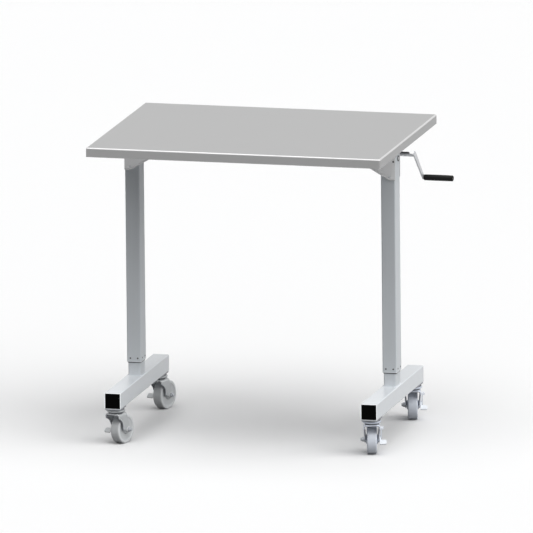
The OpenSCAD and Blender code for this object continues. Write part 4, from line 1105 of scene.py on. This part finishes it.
def make_crank_arm():
    """Flat tapered arm with a bent tang that is riveted to the flat of the square end."""
    head, past, foot, corner, fillet = 0.00875, 0.006, 0.006, 0.0025, 0.004
    outline = (arc_points((corner - head, past - corner), corner, 90, 180, 5) + [(-head, 0.0)]
               + arc_points((0, -CRANK_R), foot, 181, 359, 20) + [(head, 0.0)]
               + arc_points((head - corner, past - corner), corner, 0, 90, 5))
    arm = place_by(plate("riveted_crank_arm", outline, ARM_T), to_side(ARM_X))
    cut(arm, start_rod("drill", 0.004, ARM_X - 0.01, ARM_X + 0.02, centre=(0, -CRANK_R)))
    flat, end = ARM_T - SQUARE_HALF, ARM_X + 0.0003
    strip = ([(SQUARE_START, -SQUARE_HALF), (end, -SQUARE_HALF), (end, flat + fillet)]
             + arc_points((ARM_X - fillet, flat + fillet), fillet, 0, -90, 8) + [(SQUARE_START, flat)])
    tang = place_by(plate("tang", strip, 2 * SQUARE_HALF), Matrix.Translation((0, 0, -SQUARE_HALF)))
    round_edges(tang, 0.002, 3, lambda mid, way: abs(way.y) > STRAIGHT and mid.x < SQUARE_START + NEAR)
    cut(arm, tang, "UNION")
    soften(arm, 0.0005, 2, 35)
    stand(place_by(smooth(arm, 35), CRANK_PLACE), arm_zinc, "crank_arm")
    rivets = []
    for along in (-0.007, 0.007):
        for sign in (-1, 1):
            dome = turned("dome", [(0, 0), (0, 0.0035), (0.0003, 0.0035), (0.0009, 0.0029), (0.0013, 0.0018),
                                   (0.0015, 0)], 24)
            place = (SQUARE_END - SQUARE_LEN / 2 + along, sign * SQUARE_HALF, 0)
            rivets.append(place_by(dome, turn_to((0, sign, 0), place)))
    stand(place_by(smooth(join(rivets, "tang_rivets"), 40), CRANK_PLACE), zinc_bright, "crank_rivets")


def make_grip():
    """Moulded grip with a slight swell, rounded ends and a recess for the head of its pin."""
    start, end, radius, bore, pin_r = 0.4673, 0.5583, 0.00925, 0.0041, 0.0040
    swell = [(start + 0.0035 + i * (end - start - 0.007) / 8, radius - 0.0003 * (1 - math.sin(math.pi * i / 8)))
             for i in range(9)]
    profile = ([(start, bore), (start, 0.0068), (start + 0.0004, 0.0080), (start + 0.0014, 0.0087)] + swell
               + [(end - 0.0030, 0.0086), (end - 0.0026, 0.0086), (end - 0.0022, 0.0089), (end - 0.0009, 0.0084),
                  (end, 0.0074), (end, 0.0068), (end - 0.0044, 0.0064), (end - 0.0044, bore)])
    place = CRANK_PLACE @ Matrix.Translation((0, 0, -CRANK_R))
    grip = smooth(turned("crank_hand_grip", profile + [profile[0]], 56), 30)
    stand(place_by(grip, place), black_grip, "crank_grip")
    head = end - 0.004
    pin = turned("grip_rivet_pin", [(ARM_X - 0.0008, 0), (ARM_X - 0.0007, 0.0026), (ARM_X, 0.0045), (ARM_X, pin_r),
                                    (head, pin_r), (head, 0.0060), (head + 0.0012, 0.0060), (head + 0.0020, 0.0050),
                                    (head + 0.0020, 0)], 32)
    stand(place_by(smooth(pin, 30), place), zinc_bright, "grip_pin")


def make_shaft_bushes():
    """Flanged bushes in the walls of both outer tubes."""
    inner, flange, bore, barrel = 0.0205, 0.0245, 0.00505, 0.0068
    profile = [(inner, bore), (inner, barrel), (OUTER_X, 0.007), (OUTER_X, 0.009), (0.0240, 0.009), (flange, 0.0084),
               (flange, 0.0056), (0.0241, bore), (inner, bore)]
    bushes = [place_by(turned("bush", profile, 40),
                       Matrix.Translation((leg_x(side), DRIVE_Y, DRIVE_Z)) @ mirrored(sign))
              for side in SIDES for sign in (-1, 1)]
    stand(smooth(join(bushes, "flanged_shaft_bushes"), 30), black_bush, "shaft_bushes")


def make_cross_shaft():
    end = LEG_X + 0.0245
    half = [(end - 0.0006, 0.005), (end, 0.0044), (end, 0.0014), (end - 0.0016, 0)]
    shaft = turned("cross_shaft_bar", [(-x, r) for x, r in reversed(half)] + half, 40)
    stand(place_by(smooth(shaft, 30), Matrix.Translation((TABLE_X, DRIVE_Y, DRIVE_Z))), machined, "cross_shaft")


def make_drive_copies():
    """Drive pieces with real teeth, bores and outlines, whose sharp edges are broken here."""
    for node, name, finish, width in (
            ("gear_frame", "gear_frame_plates", zinc_sheet, 0.0003),
            ("crank_gear", "crank_spur_gear", machined, 0.00015),
            ("cross_shaft_gear", "cross_spur_gear", machined, 0.00015),
            ("shaft_hanger", "bent_shaft_hanger", zinc_sheet, 0.0004),
            ("crank_bearing", "cast_crank_bearing", cast_grey, 0.0008)):
        stand(smooth(soften(cad_copy(node, name), width, 2, 40), 35), finish, node)


def make_frame_screws():
    """Hexagon heads on both plates of the gear frame, round the gear and the pinion."""
    gear_r, pinion_r, rim = 0.0225, 0.0135, 0.007
    spots = [(DRIVE_Y, DRIVE_Z, gear_r, angle) for angle in (205, 265, 325)] + [(CRANK_Y, CRANK_Z, pinion_r, 40)]
    heads = []
    for y, z, radius, angle in spots:
        out, turn = radius + rim, math.radians(angle)
        spot = Matrix.Translation((TABLE_X + FRAME_X, y + out * math.cos(turn), z + out * math.sin(turn)))
        heads += [place_by(hexagon("head", 0.007, 0.010, 0.013), spot @ mirrored(sign)) for sign in (-1, 1)]
    stand(smooth(join(heads, "gear_frame_bolts"), 30), zinc_bright, "frame_screws")


set_camera()
set_studio()
set_floor()
dress_nodes()
make_table_top()
make_stiffeners()
make_tie_channel()
make_bracket_screws()
for side in SIDES:
    make_bracket(side)
    make_upper_column(side)
    make_glide_bush(side)
    make_lower_column(side)
    make_beam(side)
    make_caps(side)
make_glide_screws()
for side in SIDES:
    make_casters(side)
make_crank_shaft()
make_crank_arm()
make_grip()
make_shaft_bushes()
make_cross_shaft()
make_drive_copies()
make_frame_screws()
